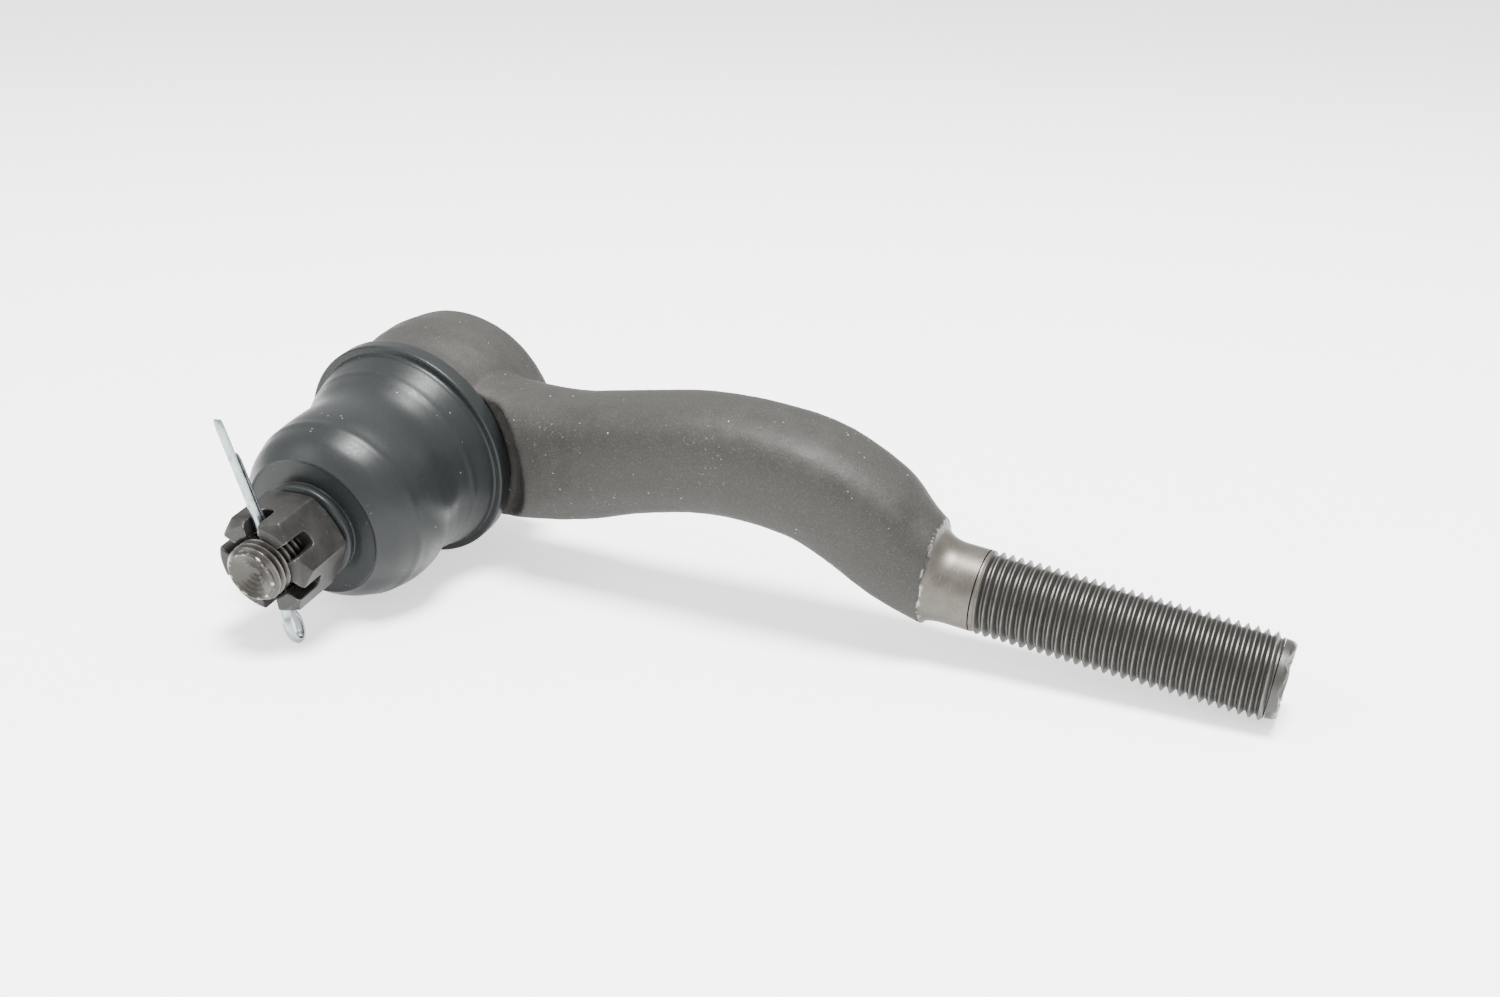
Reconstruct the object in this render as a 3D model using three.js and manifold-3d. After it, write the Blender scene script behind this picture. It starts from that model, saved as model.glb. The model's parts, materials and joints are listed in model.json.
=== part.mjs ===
// Outer tie rod end: a forged socket with a bowed arm and a threaded shank, a ball stud
// in two seats, a rubber dust boot, a castle nut and a cotter pin. Units are millimetres.
//
// Working frame while the pieces are built:
//   origin  centre of the ball
//   +x      along the threaded shank, away from the socket
//   -y      along the stud, from the ball towards the nut
//   +z      the side the arm bows towards
// Distances called "along the stud" are measured from the ball centre towards the nut.
// At the end the whole assembly is laid on its boot and shank, with the floor at z = 0.

import * as THREE from 'three';
import { mergeVertices, toCreasedNormals } from 'three/addons/utils/BufferGeometryUtils.js';
import Module from 'manifold-3d';

const wasm = await Module();
wasm.setup();

// ---------------------------------------------------------------- dimensions

const GAP = 0.3;                       // clearance between neighbouring pieces
const ROUND = 36;                      // segments of a turned surface
const THREAD_ROUND = 16;               // segments of a thread
const SMALL_ROUND = 12;                // segments of a small hole or slot bottom
const DEG = Math.PI / 180;
const PAST = 1;                        // how far a cutting shape reaches past what it cuts
const CORNER_CUT = 0.3;                // middle point of a rounded corner, a share of its radius

// both threads: shares of the pitch
const THREAD_CREST = 0.16;
const THREAD_ROOT = 0.58;
const THREAD_DEPTH = 0.6;
const THREAD_OVERLAP = 1;              // length shared by a thread and the plain shaft before it
const THREAD_TRIM = 0.5;               // the blank of a thread stands this far outside its crests

// threaded shank, M14 x 1.5, right hand
const SHANK_THREAD_R = 7;
const SHANK_PITCH = 1.5;
const SHANK_END_X = 155;
const SHANK_THREAD_START_X = 106.6;
const SHANK_OFFSET_Z = 1.2;
const SHANK_OFFSET_Y = -0.3;
const SHANK_CHAMFER = 1.4;
const SHANK_RUN_OUT = 1.2;             // length over which the thread starts
const NECK_R = 6.85;
const NECK_FILLET_LENGTH = 3.9;        // the machined neck flares out to the end of the arm
const NECK_FILLET_STEPS = 5;
const NECK_OVERLAP = 1.5;              // how far the turned neck reaches into the flare
const END_CUP_R = 3.6;
const END_CUP_DEPTH = 2.5;
const END_CUP_SHOULDER = 0.6;          // where the side of the cup meets its bottom

// arm stations: distance along x, centre y, centre z, half width, half height, squareness
const ARM_STATIONS = [
  { x: 0, y: 0, z: 1.6, halfWidth: 8.5, halfHeight: 13.6, squareness: 3 },
  { x: 9.5, y: 0, z: 1.7, halfWidth: 8.7, halfHeight: 13.2, squareness: 3 },
  { x: 19, y: 0, z: 2.1, halfWidth: 8.9, halfHeight: 12.3, squareness: 3 },
  { x: 31, y: -0.1, z: 4.3, halfWidth: 8.9, halfHeight: 11.1, squareness: 3 },
  { x: 43.5, y: -0.2, z: 8.6, halfWidth: 8.9, halfHeight: 10.1, squareness: 3 },
  { x: 56, y: 0.2, z: 12.1, halfWidth: 9.3, halfHeight: 9.6, squareness: 3 },
  { x: 67, y: 0.5, z: 13.1, halfWidth: 9.5, halfHeight: 9.3, squareness: 3 },
  { x: 78, y: 0.5, z: 12, halfWidth: 9.5, halfHeight: 9.3, squareness: 2.9 },
  { x: 86.5, y: 0.3, z: 8.4, halfWidth: 9.2, halfHeight: 9.3, squareness: 2.7 },
  { x: 92.5, y: 0, z: 4.8, halfWidth: 8.6, halfHeight: 9.1, squareness: 2.5 },
  { x: 98.5, y: -0.3, z: 2.1, halfWidth: 7.7, halfHeight: 8.9, squareness: 2.2 },
];
const ARM_END_X = ARM_STATIONS[ARM_STATIONS.length - 1].x;
const ARM_SECTION_POINTS = 24;
const ARM_STEPS = 26;
const HALVINGS = 40;                   // of the search for a station on a smooth curve
const ARM_UPRIGHT_LENGTH = 12.5;       // the sections at both ends stand upright over this length

// socket, turned about the stud axis
const SOCKET_FRONT = 7.9;
const SOCKET_FRONT_R = 17.4;           // turned land that carries the boot
const SOCKET_SHOULDER = 5;
const SOCKET_R = 19.2;
const SOCKET_BELT_R = 19.8;            // widest, around the forging's parting line
const SOCKET_BELT_FRONT = -3;
const SOCKET_BELT_BACK = -7;
const SOCKET_BELT_END = 2.3;
const SOCKET_BACK = -14.6;
const SOCKET_BACK_R = 18.9;
const SOCKET_BACK_ROUND = 2;
const SOCKET_EDGE = 0.6;
const RECESS_R = 22.5;                 // room for the boot's flange, cut into the root of the arm
const RECESS_FLARE_R = 25.8;
const RECESS_FLARE = 9.2;
const SEAT_BORE_R = 12.15;
const SEAT_BORE_FRONT = 5.9;
const MOUTH_R = 9.3;
const MOUTH_FLARE_R = 11.4;

// end cap, pressed in behind the lower seat and staked
const CAP_SEAT_R = 14;
const CAP_FRONT = -12.4;
const CAP_BACK = -13.8;
const CAP_DOME_R = 7.4;
const CAP_DOME_HEIGHT = 0.6;
const STAKED_RIM_R = 13.2;

// seats and preload spring
const BALL_CLEARANCE = 0.15;           // between the corners of the faceted ball and seats
const SEAT_OUTSIDE_R = 12.05;
const SEAT_SPLIT = 0.6;                // half the gap between the two seats
const LOWER_SEAT_END = -10.8;
const LOWER_SEAT_CHAMFER = 0.9;
const LOWER_SEAT_HOLE_R = 2.8;
const SEAT_STEPS = 8;
const SPRING_HOLE_R = 4.7;
const SPRING_R = 10.5;
const SPRING_TOP = -11;
const SPRING_DISH = 0.6;
const SPRING_THICKNESS = 0.5;

// ball stud
const BALL_R = 10;
const BALL_FLAT = -9.7;                // the turned flat at the back of the ball
const BALL_STEPS = 12;
const STUD_NECK_R = 5.1;
const STUD_NECK_FILLET = 1.9;
const STUD_NECK_END_R = 5.6;
const STUD_NECK_END = 14;
const TAPER_WIDE_R = 6.3;
const TAPER_START = 18.7;
const TAPER_LAND = 2.3;
const TAPER_NARROW_R = 5.15;
const TAPER_END = 36.5;
const STUD_RELIEF_R = 4.15;            // undercut before the thread
const STUD_RELIEF_START = 37.3;
const STUD_THREAD_R = 5;
const STUD_PITCH = 1.25;
const STUD_END = 53.3;
const STUD_THREAD_START = 38.4;
const STUD_CHAMFER = 0.85;
const STUD_RUN_OUT = 1.4;
const DIMPLE_R = 3.75;
const DIMPLE_DEPTH = 2.2;

// castle nut
const NUT_ACROSS_FLATS = 16;
const NUT_BASE = 39.4;
const NUT_HEIGHT = 11.2;
const NUT_SLOT_WIDTH = 2.8;
const NUT_SLOT_DEPTH = 5.1;
const NUT_BASE_BEVEL = 0.9;
const NUT_TOP_BEVEL = 1.5;
const NUT_BORE_BEVEL = 0.7;
const NUT_MOUTH_R = 6;
const NUT_FACE_R = 7.7;                // flat ring left by the bevels on both end faces
const NUT_ROUND = 48;
const NUT_BLANK = 1.01;                // the turned blank is this much wider than the corners
const NUT_TURN = 8.5 * DEG;             // from the underside towards the shank

// cotter pin
const PIN_ALONG_STUD = 47.9;
const PIN_TURN = 11 * DEG;
const PIN_BEND = 0.12;                 // sideways slope of the pin outside the nut
const PIN_STRAIGHT = 7;
const PIN_R = 0.85;
const PIN_HOLE_R = 1.25;
const PIN_TIP = 24.9;
const PIN_SHORT_TIP = 18.7;
const PIN_EYE_START = 9.3;
const PIN_EYE_END = 15.5;
const PIN_EYE_R = 1.95;
const PIN_LEG_GAP = GAP;               // between the flat sides of the two legs
const PIN_EYE_STEPS = 12;
const PIN_EYE_OPENING = 20 * DEG;      // half the gap where the eye meets the legs
const PIN_SECTION_STEPS = 6;

// dust boot
const BOOT_WALL = 1.5;
const FLANGE_R = 20.5;
const FLANGE_BACK = 5.3;
const FLANGE_FRONT = 8.4;
const FLANGE_EDGE = 0.5;
const FLANGE_BORE_R = 17.8;
const FLANGE_GROOVE_R = 18.8;
const FLANGE_GROOVE_FRONT = 7.8;
const FLANGE_GROOVE_BACK = 6.1;
// outer line of the skirt, the waist and the bulge: [radius, distance along the stud]
const BOOT_SKIRT = [
  [18.9, 9.3],
  [17.3, 14.8],
  [16.6, 18.7],
  [17, 24.1],
  [16.7, 28.8],
  [15.2, 33.5],
  [12.8, 36.6],
];
const BOOT_SKIRT_STEPS = 13;
const BOOT_HUB_R = 8.6;
const BOOT_HUB_START = 37.2;
const BOOT_LIP = 39.1;
const BOOT_LIP_R = 7.6;
const BOOT_LIP_ROUND = 0.5;
const BOOT_BORE_R = 5.5;
const BOOT_INNER_FACE = 35.2;
const NECK_GROOVE_R = 7;
const NECK_GROOVE_FRONT = 38.3;
const NECK_GROOVE_BACK = 36.7;
const BOOT_BEND_START = 9.3;           // the boot follows the stud's lean more and more
const BOOT_BEND_END = 32.7;
const BOOT_BULGE = 1;                  // the leaning stud squeezes the bulge to one side
const BOOT_BULGE_TURN = -30 * DEG;     // direction of that side, from +x towards +z
const BOOT_BULGE_START = 10.9;
const BOOT_BULGE_END = 36.6;

// rings that clamp the boot
const FLANGE_RING_R = 18.5;
const FLANGE_RING_FRONT = 7.5;
const FLANGE_RING_BACK = 6.4;
const NECK_RING_R = 6.7;
const NECK_RING_BORE_R = 5.8;
const NECK_RING_FRONT = 38;
const NECK_RING_BACK = 37;

// rest pose on the floor
const STUD_LEAN_X = 2.9 * DEG;         // stud tip towards the shank
const STUD_LEAN_Z = 0.8 * DEG;         // stud tip towards the bow side
const REST_PITCH = 5.9 * DEG;          // shank end down
const REST_ROLL = -8.5 * DEG;          // stud end down

// ---------------------------------------------------------------- materials

function material(colour, roughness, metalness) {
  return new THREE.MeshStandardMaterial({ color: colour, roughness, metalness });
}

const FORGED_STEEL = material(0x5d5b57, 0.62, 0.55);
const STUD_STEEL = material(0x6b6459, 0.38, 0.9);
const NUT_STEEL = material(0x4b4a47, 0.5, 0.7);
const ZINC = material(0xb9c6c9, 0.28, 0.95);
const RUBBER = material(0x33383a, 0.5, 0);
const SEAT_PLASTIC = material(0xd9d5c7, 0.45, 0);
const SPRING_STEEL = material(0x55534f, 0.4, 0.85);
const CAP_STEEL = material(0x5a5853, 0.5, 0.7);

// ---------------------------------------------------------------- solid helpers

function toManifold(geometry) {
  const bare = geometry.index ? geometry.toNonIndexed() : geometry.clone();
  bare.deleteAttribute('normal');
  bare.deleteAttribute('uv');
  const merged = mergeVertices(bare, 1e-4);
  const vertProperties = Float32Array.from(merged.attributes.position.array);
  const triVerts = Uint32Array.from(merged.index.array);
  const clean = [];
  for (let i = 0; i < triVerts.length; i += 3) {
    const [a, b, c] = triVerts.subarray(i, i + 3);
    if (a !== b && b !== c && c !== a) clean.push(a, b, c);
  }
  const mesh = new wasm.Mesh({ numProp: 3, vertProperties, triVerts: Uint32Array.from(clean) });
  mesh.merge();
  return new wasm.Manifold(mesh);
}

function toGeometry(manifold) {
  const mesh = manifold.getMesh();
  const geometry = new THREE.BufferGeometry();
  const positions = Float32Array.from(mesh.vertProperties);
  geometry.setAttribute('position', new THREE.BufferAttribute(positions, 3));
  geometry.setIndex(new THREE.BufferAttribute(Uint32Array.from(mesh.triVerts), 1));
  return geometry;
}

// Closed surface from rows of points: every row is a ring with the same point count.
function ringSolid(rings) {
  const count = rings[0].length;
  const points = rings.flat();
  const startCentre = points.length;
  points.push(ringCentre(rings[0]));
  const endCentre = points.length;
  points.push(ringCentre(rings[rings.length - 1]));
  const faces = [];
  for (let i = 0; i < rings.length - 1; i++) {
    for (let j = 0; j < count; j++) {
      const a = i * count + j;
      const b = i * count + (j + 1) % count;
      faces.push(a, b, a + count, b, b + count, a + count);
    }
  }
  const last = (rings.length - 1) * count;
  for (let j = 0; j < count; j++) {
    const next = (j + 1) % count;
    faces.push(startCentre, next, j);
    faces.push(endCentre, last + j, last + next);
  }
  return facingOut(points, faces);
}

function ringCentre(ring) {
  const centre = new THREE.Vector3();
  ring.forEach((p) => centre.add(p));
  return centre.divideScalar(ring.length);
}

function facingOut(points, faces) {
  let volume = 0;
  for (let i = 0; i < faces.length; i += 3) {
    const [a, b, c] = [points[faces[i]], points[faces[i + 1]], points[faces[i + 2]]];
    volume += a.dot(new THREE.Vector3().crossVectors(b, c));
  }
  const index = volume > 0 ? faces : faces.slice().reverse();
  const geometry = new THREE.BufferGeometry().setFromPoints(points);
  geometry.setIndex(index);
  return toManifold(geometry);
}

// Turned solid about the y axis: profile rows are [radius, distance along the stud].
// The profile either starts and ends on the axis or closes on itself.
function turnedAboutStud(profile, segments = ROUND) {
  const points = profile.map(([r, along]) => new THREE.Vector2(r, along));
  const lathe = new THREE.LatheGeometry(points, segments);
  lathe.rotateX(Math.PI);
  return orient(lathe);
}

// Turned solid about the shank axis: profile rows are [radius, x].
function turnedAboutShank(profile, segments = ROUND) {
  const points = profile.map(([r, x]) => new THREE.Vector2(r, x));
  const lathe = new THREE.LatheGeometry(points, segments);
  lathe.rotateZ(-Math.PI / 2);
  lathe.translate(0, SHANK_OFFSET_Y, SHANK_OFFSET_Z);
  return orient(lathe);
}

function orient(geometry) {
  const position = geometry.attributes.position;
  const points = [];
  for (let i = 0; i < position.count; i++) {
    points.push(new THREE.Vector3().fromBufferAttribute(position, i));
  }
  const faces = Array.from(geometry.index.array);
  return facingOut(points, faces);
}

function closed(profile) {
  return [...profile, profile[0]];
}

// Screw thread along +x from x = 0, longer than needed so that it can be trimmed.
// The section of one pitch is a flat crest, a flank, a narrow root and a flank.
function threadedRod(radius, pitch, length, segments) {
  const section = [
    { at: 0, r: radius },
    { at: THREAD_CREST * pitch, r: radius },
    { at: THREAD_ROOT * pitch, r: radius - THREAD_DEPTH * pitch },
  ];
  const turns = Math.ceil(length / pitch) + 2;
  const rows = turns * section.length;
  const points = [];
  for (let j = 0; j < segments; j++) {
    const angle = (2 * Math.PI * j) / segments;
    for (let i = 0; i < rows + section.length; i++) {
      const { at, r } = section[i % section.length];
      const x = (Math.floor(i / section.length) - 1) * pitch + at + (pitch * j) / segments;
      points.push(new THREE.Vector3(x, -r * Math.cos(angle), r * Math.sin(angle)));
    }
  }
  const perColumn = rows + section.length;
  const id = (j, i) => (j < segments ? j * perColumn + i : i + section.length);
  const faces = [];
  for (let j = 0; j < segments; j++) {
    for (let i = 0; i < rows - 1; i++) {
      const [a, b, c, d] = [id(j, i), id(j, i + 1), id(j + 1, i), id(j + 1, i + 1)];
      faces.push(a, c, b, b, c, d);
    }
  }
  const startRim = [];
  const endRim = [];
  for (let j = 0; j < segments; j++) {
    startRim.push(id(j, 0));
    endRim.push(id(j, rows - 1));
  }
  for (let k = section.length; k >= 0; k--) startRim.push(k);
  for (let k = 0; k <= section.length; k++) endRim.push(rows - 1 + section.length - k);
  closeRim(points, faces, startRim.slice(0, -1), true);
  closeRim(points, faces, endRim.slice(0, -1), false);
  return facingOut(points, faces);
}

function closeRim(points, faces, rim, flip) {
  const centre = points.length;
  points.push(ringCentre(rim.map((k) => points[k])).setY(0).setZ(0));
  for (let k = 0; k < rim.length; k++) {
    const a = rim[k];
    const b = rim[(k + 1) % rim.length];
    if (flip) faces.push(centre, b, a);
    else faces.push(centre, a, b);
  }
}

function box(width, depth, height, x, y, z) {
  const geometry = new THREE.BoxGeometry(width, depth, height);
  geometry.translate(x, y, z);
  return toManifold(geometry);
}

// ---------------------------------------------------------------- forged housing

function interpolate(stations, key, x) {
  const curve = new THREE.CatmullRomCurve3(
    stations.map((s) => new THREE.Vector3(s.x, s[key], 0)), false, 'centripetal');
  let low = 0;
  let high = 1;
  for (let i = 0; i < HALVINGS; i++) {
    const middle = (low + high) / 2;
    if (curve.getPoint(middle).x < x) low = middle;
    else high = middle;
  }
  return curve.getPoint(low).y;
}

function armRing(x) {
  const centreY = interpolate(ARM_STATIONS, 'y', x);
  const centreZ = interpolate(ARM_STATIONS, 'z', x);
  const halfWidth = interpolate(ARM_STATIONS, 'halfWidth', x);
  const halfHeight = interpolate(ARM_STATIONS, 'halfHeight', x);
  const power = 2 / interpolate(ARM_STATIONS, 'squareness', x);
  const step = 1;
  const ahead = interpolate(ARM_STATIONS, 'z', x + step / 2);
  const behind = interpolate(ARM_STATIONS, 'z', x - step / 2);
  const lean = Math.atan2(ahead - behind, step) * uprightShare(x);
  const ring = [];
  for (let j = 0; j < ARM_SECTION_POINTS; j++) {
    const angle = (2 * Math.PI * (j + 0.5)) / ARM_SECTION_POINTS;
    const [c, s] = [Math.cos(angle), Math.sin(angle)];
    const y = halfWidth * Math.sign(c) * Math.abs(c) ** power;
    const z = halfHeight * Math.sign(s) * Math.abs(s) ** power;
    ring.push(new THREE.Vector3(x - z * Math.sin(lean), centreY + y, centreZ + z * Math.cos(lean)));
  }
  return ring;
}

// The sections stand square to the bowed centre line, but upright at both ends of the arm.
function uprightShare(x) {
  return Math.min(1, x / ARM_UPRIGHT_LENGTH, (ARM_END_X - x) / ARM_UPRIGHT_LENGTH);
}

// The flare between the arm's last section and the round neck, hollow like a fillet.
function flareRing(share) {
  const x = ARM_END_X + NECK_FILLET_LENGTH * share;
  const spread = 1 - Math.sqrt(1 - (1 - share) ** 2);
  return armRing(ARM_END_X).map((point) => {
    const angle = Math.atan2(point.z - SHANK_OFFSET_Z, point.y - SHANK_OFFSET_Y);
    const y = SHANK_OFFSET_Y + NECK_R * Math.cos(angle);
    const z = SHANK_OFFSET_Z + NECK_R * Math.sin(angle);
    return new THREE.Vector3(x, y, z).lerp(point.setX(x), spread);
  });
}

function armSolid() {
  const rings = [];
  for (let i = 0; i <= ARM_STEPS; i++) {
    rings.push(armRing((ARM_END_X * i) / ARM_STEPS));
  }
  for (let i = 1; i <= NECK_FILLET_STEPS; i++) {
    rings.push(flareRing(i / NECK_FILLET_STEPS));
  }
  return ringSolid(rings);
}

function socketSolid() {
  return turnedAboutStud([
    [0, SOCKET_BACK],
    [SOCKET_BACK_R - SOCKET_BACK_ROUND, SOCKET_BACK],
    [SOCKET_BACK_R - SOCKET_BACK_ROUND * CORNER_CUT, SOCKET_BACK + SOCKET_BACK_ROUND * CORNER_CUT],
    [SOCKET_BACK_R, SOCKET_BACK + SOCKET_BACK_ROUND],
    [SOCKET_BELT_R, SOCKET_BELT_BACK],
    [SOCKET_BELT_R, SOCKET_BELT_FRONT],
    [SOCKET_R, SOCKET_BELT_END],
    [SOCKET_R, SOCKET_SHOULDER],
    [SOCKET_FRONT_R, SOCKET_SHOULDER],
    [SOCKET_FRONT_R, SOCKET_FRONT - SOCKET_EDGE],
    [SOCKET_FRONT_R - SOCKET_EDGE, SOCKET_FRONT],
    [0, SOCKET_FRONT],
  ]);
}

function socketCavity() {
  return turnedAboutStud([
    [0, SOCKET_BACK - PAST],
    [STAKED_RIM_R, SOCKET_BACK - PAST],
    [STAKED_RIM_R, CAP_BACK - GAP],
    [CAP_SEAT_R + GAP, CAP_BACK - GAP],
    [CAP_SEAT_R + GAP, CAP_FRONT + GAP],
    [SEAT_BORE_R, CAP_FRONT + GAP],
    [SEAT_BORE_R, SEAT_BORE_FRONT],
    [MOUTH_R, SEAT_BORE_FRONT],
    [MOUTH_FLARE_R, SOCKET_FRONT + PAST],
    [0, SOCKET_FRONT + PAST],
  ]);
}

function flangeRecess() {
  return turnedAboutStud([
    [0, SOCKET_SHOULDER],
    [RECESS_R, SOCKET_SHOULDER],
    [RECESS_FLARE_R, RECESS_FLARE],
    [RECESS_FLARE_R, 2 * RECESS_FLARE],
    [0, 2 * RECESS_FLARE],
  ]);
}

function neckSolid() {
  return turnedAboutShank([
    [0, ARM_END_X + NECK_FILLET_LENGTH - NECK_OVERLAP],
    [NECK_R, ARM_END_X + NECK_FILLET_LENGTH - NECK_OVERLAP],
    [NECK_R, SHANK_THREAD_START_X - THREAD_OVERLAP],
    [SHANK_THREAD_R - 0.5 * SHANK_PITCH, SHANK_THREAD_START_X + THREAD_OVERLAP],
    [0, SHANK_THREAD_START_X + THREAD_OVERLAP],
  ]);
}

function shankThread() {
  const start = SHANK_THREAD_START_X - THREAD_OVERLAP / 2;
  const rootR = SHANK_THREAD_R - THREAD_DEPTH * SHANK_PITCH;
  const outsideR = SHANK_THREAD_R + THREAD_TRIM;
  const length = SHANK_END_X - start + 2 * PAST;
  const rod = threadedRod(SHANK_THREAD_R, SHANK_PITCH, length, THREAD_ROUND)
    .translate([start - PAST, SHANK_OFFSET_Y, SHANK_OFFSET_Z]);
  const blank = turnedAboutShank([
    [0, start],
    [rootR, start],
    [outsideR, start + SHANK_RUN_OUT],
    [outsideR, SHANK_END_X - SHANK_CHAMFER - THREAD_TRIM],
    [SHANK_THREAD_R - SHANK_CHAMFER, SHANK_END_X],
    [END_CUP_R, SHANK_END_X],
    [END_CUP_R * END_CUP_SHOULDER, SHANK_END_X - END_CUP_DEPTH * END_CUP_SHOULDER],
    [0, SHANK_END_X - END_CUP_DEPTH],
  ]);
  return rod.intersect(blank);
}

function forgedHousingArm() {
  const body = armSolid().subtract(flangeRecess()).add(socketSolid()).add(neckSolid());
  return body.subtract(socketCavity()).add(shankThread());
}

// ---------------------------------------------------------------- pieces inside the socket

function sphereArc(radius, fromAlong, toAlong, steps) {
  const points = [];
  for (let k = 0; k <= steps; k++) {
    const angle = THREE.MathUtils.lerp(
      Math.asin(fromAlong / radius), Math.asin(toAlong / radius), k / steps);
    points.push([radius * Math.cos(angle), radius * Math.sin(angle)]);
  }
  return points;
}

function upperSeat() {
  const front = SEAT_BORE_FRONT - GAP;
  return turnedAboutStud(closed([
    ...sphereArc(BALL_R + BALL_CLEARANCE, SEAT_SPLIT, front, SEAT_STEPS),
    [SEAT_OUTSIDE_R, front],
    [SEAT_OUTSIDE_R, SEAT_SPLIT],
  ]));
}

function lowerSeat() {
  const seatR = BALL_R + BALL_CLEARANCE;
  const holeAlong = -Math.sqrt(seatR ** 2 - LOWER_SEAT_HOLE_R ** 2);
  return turnedAboutStud(closed([
    ...sphereArc(seatR, holeAlong, -SEAT_SPLIT, SEAT_STEPS),
    [SEAT_OUTSIDE_R, -SEAT_SPLIT],
    [SEAT_OUTSIDE_R, LOWER_SEAT_END + LOWER_SEAT_CHAMFER],
    [SEAT_OUTSIDE_R - LOWER_SEAT_CHAMFER, LOWER_SEAT_END],
    [LOWER_SEAT_HOLE_R, LOWER_SEAT_END],
  ]));
}

function preloadSpring() {
  return turnedAboutStud(closed([
    [SPRING_HOLE_R, SPRING_TOP],
    [SPRING_R, SPRING_TOP - SPRING_DISH],
    [SPRING_R, SPRING_TOP - SPRING_DISH - SPRING_THICKNESS],
    [SPRING_HOLE_R, SPRING_TOP - SPRING_THICKNESS],
  ]));
}

function socketEndCap() {
  return turnedAboutStud([
    [0, CAP_FRONT],
    [CAP_SEAT_R, CAP_FRONT],
    [CAP_SEAT_R, CAP_BACK],
    [CAP_DOME_R, CAP_BACK],
    [CAP_DOME_R - CAP_DOME_HEIGHT, CAP_BACK - CAP_DOME_HEIGHT],
    [0, CAP_BACK - CAP_DOME_HEIGHT],
  ]);
}

// ---------------------------------------------------------------- ball stud

function studThread() {
  const length = STUD_END - STUD_THREAD_START + 2 * PAST;
  const outsideR = STUD_THREAD_R + THREAD_TRIM;
  const rod = threadedRod(STUD_THREAD_R, STUD_PITCH, length, THREAD_ROUND)
    .translate([STUD_THREAD_START - PAST, 0, 0])
    .rotate([0, 0, -90]);
  const blank = turnedAboutStud([
    [0, STUD_THREAD_START],
    [STUD_RELIEF_R, STUD_THREAD_START],
    [outsideR, STUD_THREAD_START + STUD_RUN_OUT],
    [outsideR, STUD_END - STUD_CHAMFER - THREAD_TRIM],
    [STUD_THREAD_R - STUD_CHAMFER, STUD_END],
    [DIMPLE_R, STUD_END],
    [0, STUD_END - DIMPLE_DEPTH],
  ]);
  return rod.intersect(blank);
}

function ballStud() {
  const ballEnd = Math.sqrt(BALL_R ** 2 - STUD_NECK_R ** 2);
  const plain = turnedAboutStud([
    [0, BALL_FLAT],
    ...sphereArc(BALL_R, BALL_FLAT, ballEnd, BALL_STEPS),
    [STUD_NECK_R, ballEnd + STUD_NECK_FILLET],
    [STUD_NECK_END_R, STUD_NECK_END],
    [TAPER_WIDE_R, TAPER_START],
    [TAPER_WIDE_R, TAPER_START + TAPER_LAND],
    [TAPER_NARROW_R, TAPER_END],
    [STUD_RELIEF_R, STUD_RELIEF_START],
    [STUD_RELIEF_R, STUD_THREAD_START + THREAD_OVERLAP],
    [0, STUD_THREAD_START + THREAD_OVERLAP],
  ]);
  return plain.add(studThread()).subtract(pinHole());
}

function pinHole() {
  const length = 4 * STUD_THREAD_R;
  const hole = new THREE.CylinderGeometry(PIN_HOLE_R, PIN_HOLE_R, length, SMALL_ROUND);
  hole.rotateX(Math.PI / 2);
  hole.rotateY(-PIN_TURN);
  hole.translate(0, -PIN_ALONG_STUD, 0);
  return toManifold(hole);
}

// ---------------------------------------------------------------- castle nut

function castleNut() {
  const hexR = NUT_ACROSS_FLATS / 2 / Math.cos(30 * DEG);
  const cornerR = hexR * NUT_BLANK;
  const hex = new THREE.CylinderGeometry(hexR, hexR, NUT_HEIGHT, 6);
  hex.rotateY(30 * DEG);
  hex.translate(0, -(NUT_BASE + NUT_HEIGHT / 2), 0);
  const top = NUT_BASE + NUT_HEIGHT;
  const chamfered = turnedAboutStud([
    [0, NUT_BASE],
    [NUT_FACE_R, NUT_BASE],
    [cornerR, NUT_BASE + NUT_BASE_BEVEL],
    [cornerR, top - NUT_TOP_BEVEL],
    [NUT_FACE_R, top],
    [0, top],
  ], NUT_ROUND);
  const bore = turnedAboutStud([
    [0, NUT_BASE - PAST],
    [NUT_MOUTH_R, NUT_BASE - PAST],
    [STUD_THREAD_R + GAP, NUT_BASE + NUT_BORE_BEVEL],
    [STUD_THREAD_R + GAP, top - NUT_BORE_BEVEL],
    [NUT_MOUTH_R, top + PAST],
    [0, top + PAST],
  ]);
  let nut = toManifold(hex).intersect(chamfered).subtract(bore);
  for (let k = 0; k < 3; k++) {
    nut = nut.subtract(nutSlot().rotate([0, k * 60, 0]));
  }
  return nut.rotate([0, -NUT_TURN / DEG, 0]);
}

// One straight slot with a round bottom, cut across the whole nut above the hexagon.
function nutSlot() {
  const top = NUT_BASE + NUT_HEIGHT;
  const floor = top - NUT_SLOT_DEPTH;
  const half = NUT_SLOT_WIDTH / 2;
  const length = 2 * NUT_ACROSS_FLATS;
  const straight = box(NUT_SLOT_WIDTH, NUT_SLOT_DEPTH - half + PAST, length,
    0, -(top + PAST + floor + half) / 2, 0);
  const bottom = new THREE.CylinderGeometry(half, half, length, SMALL_ROUND);
  bottom.rotateX(Math.PI / 2);
  bottom.translate(0, -(floor + half), 0);
  return straight.add(toManifold(bottom));
}

// ---------------------------------------------------------------- cotter pin

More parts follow.
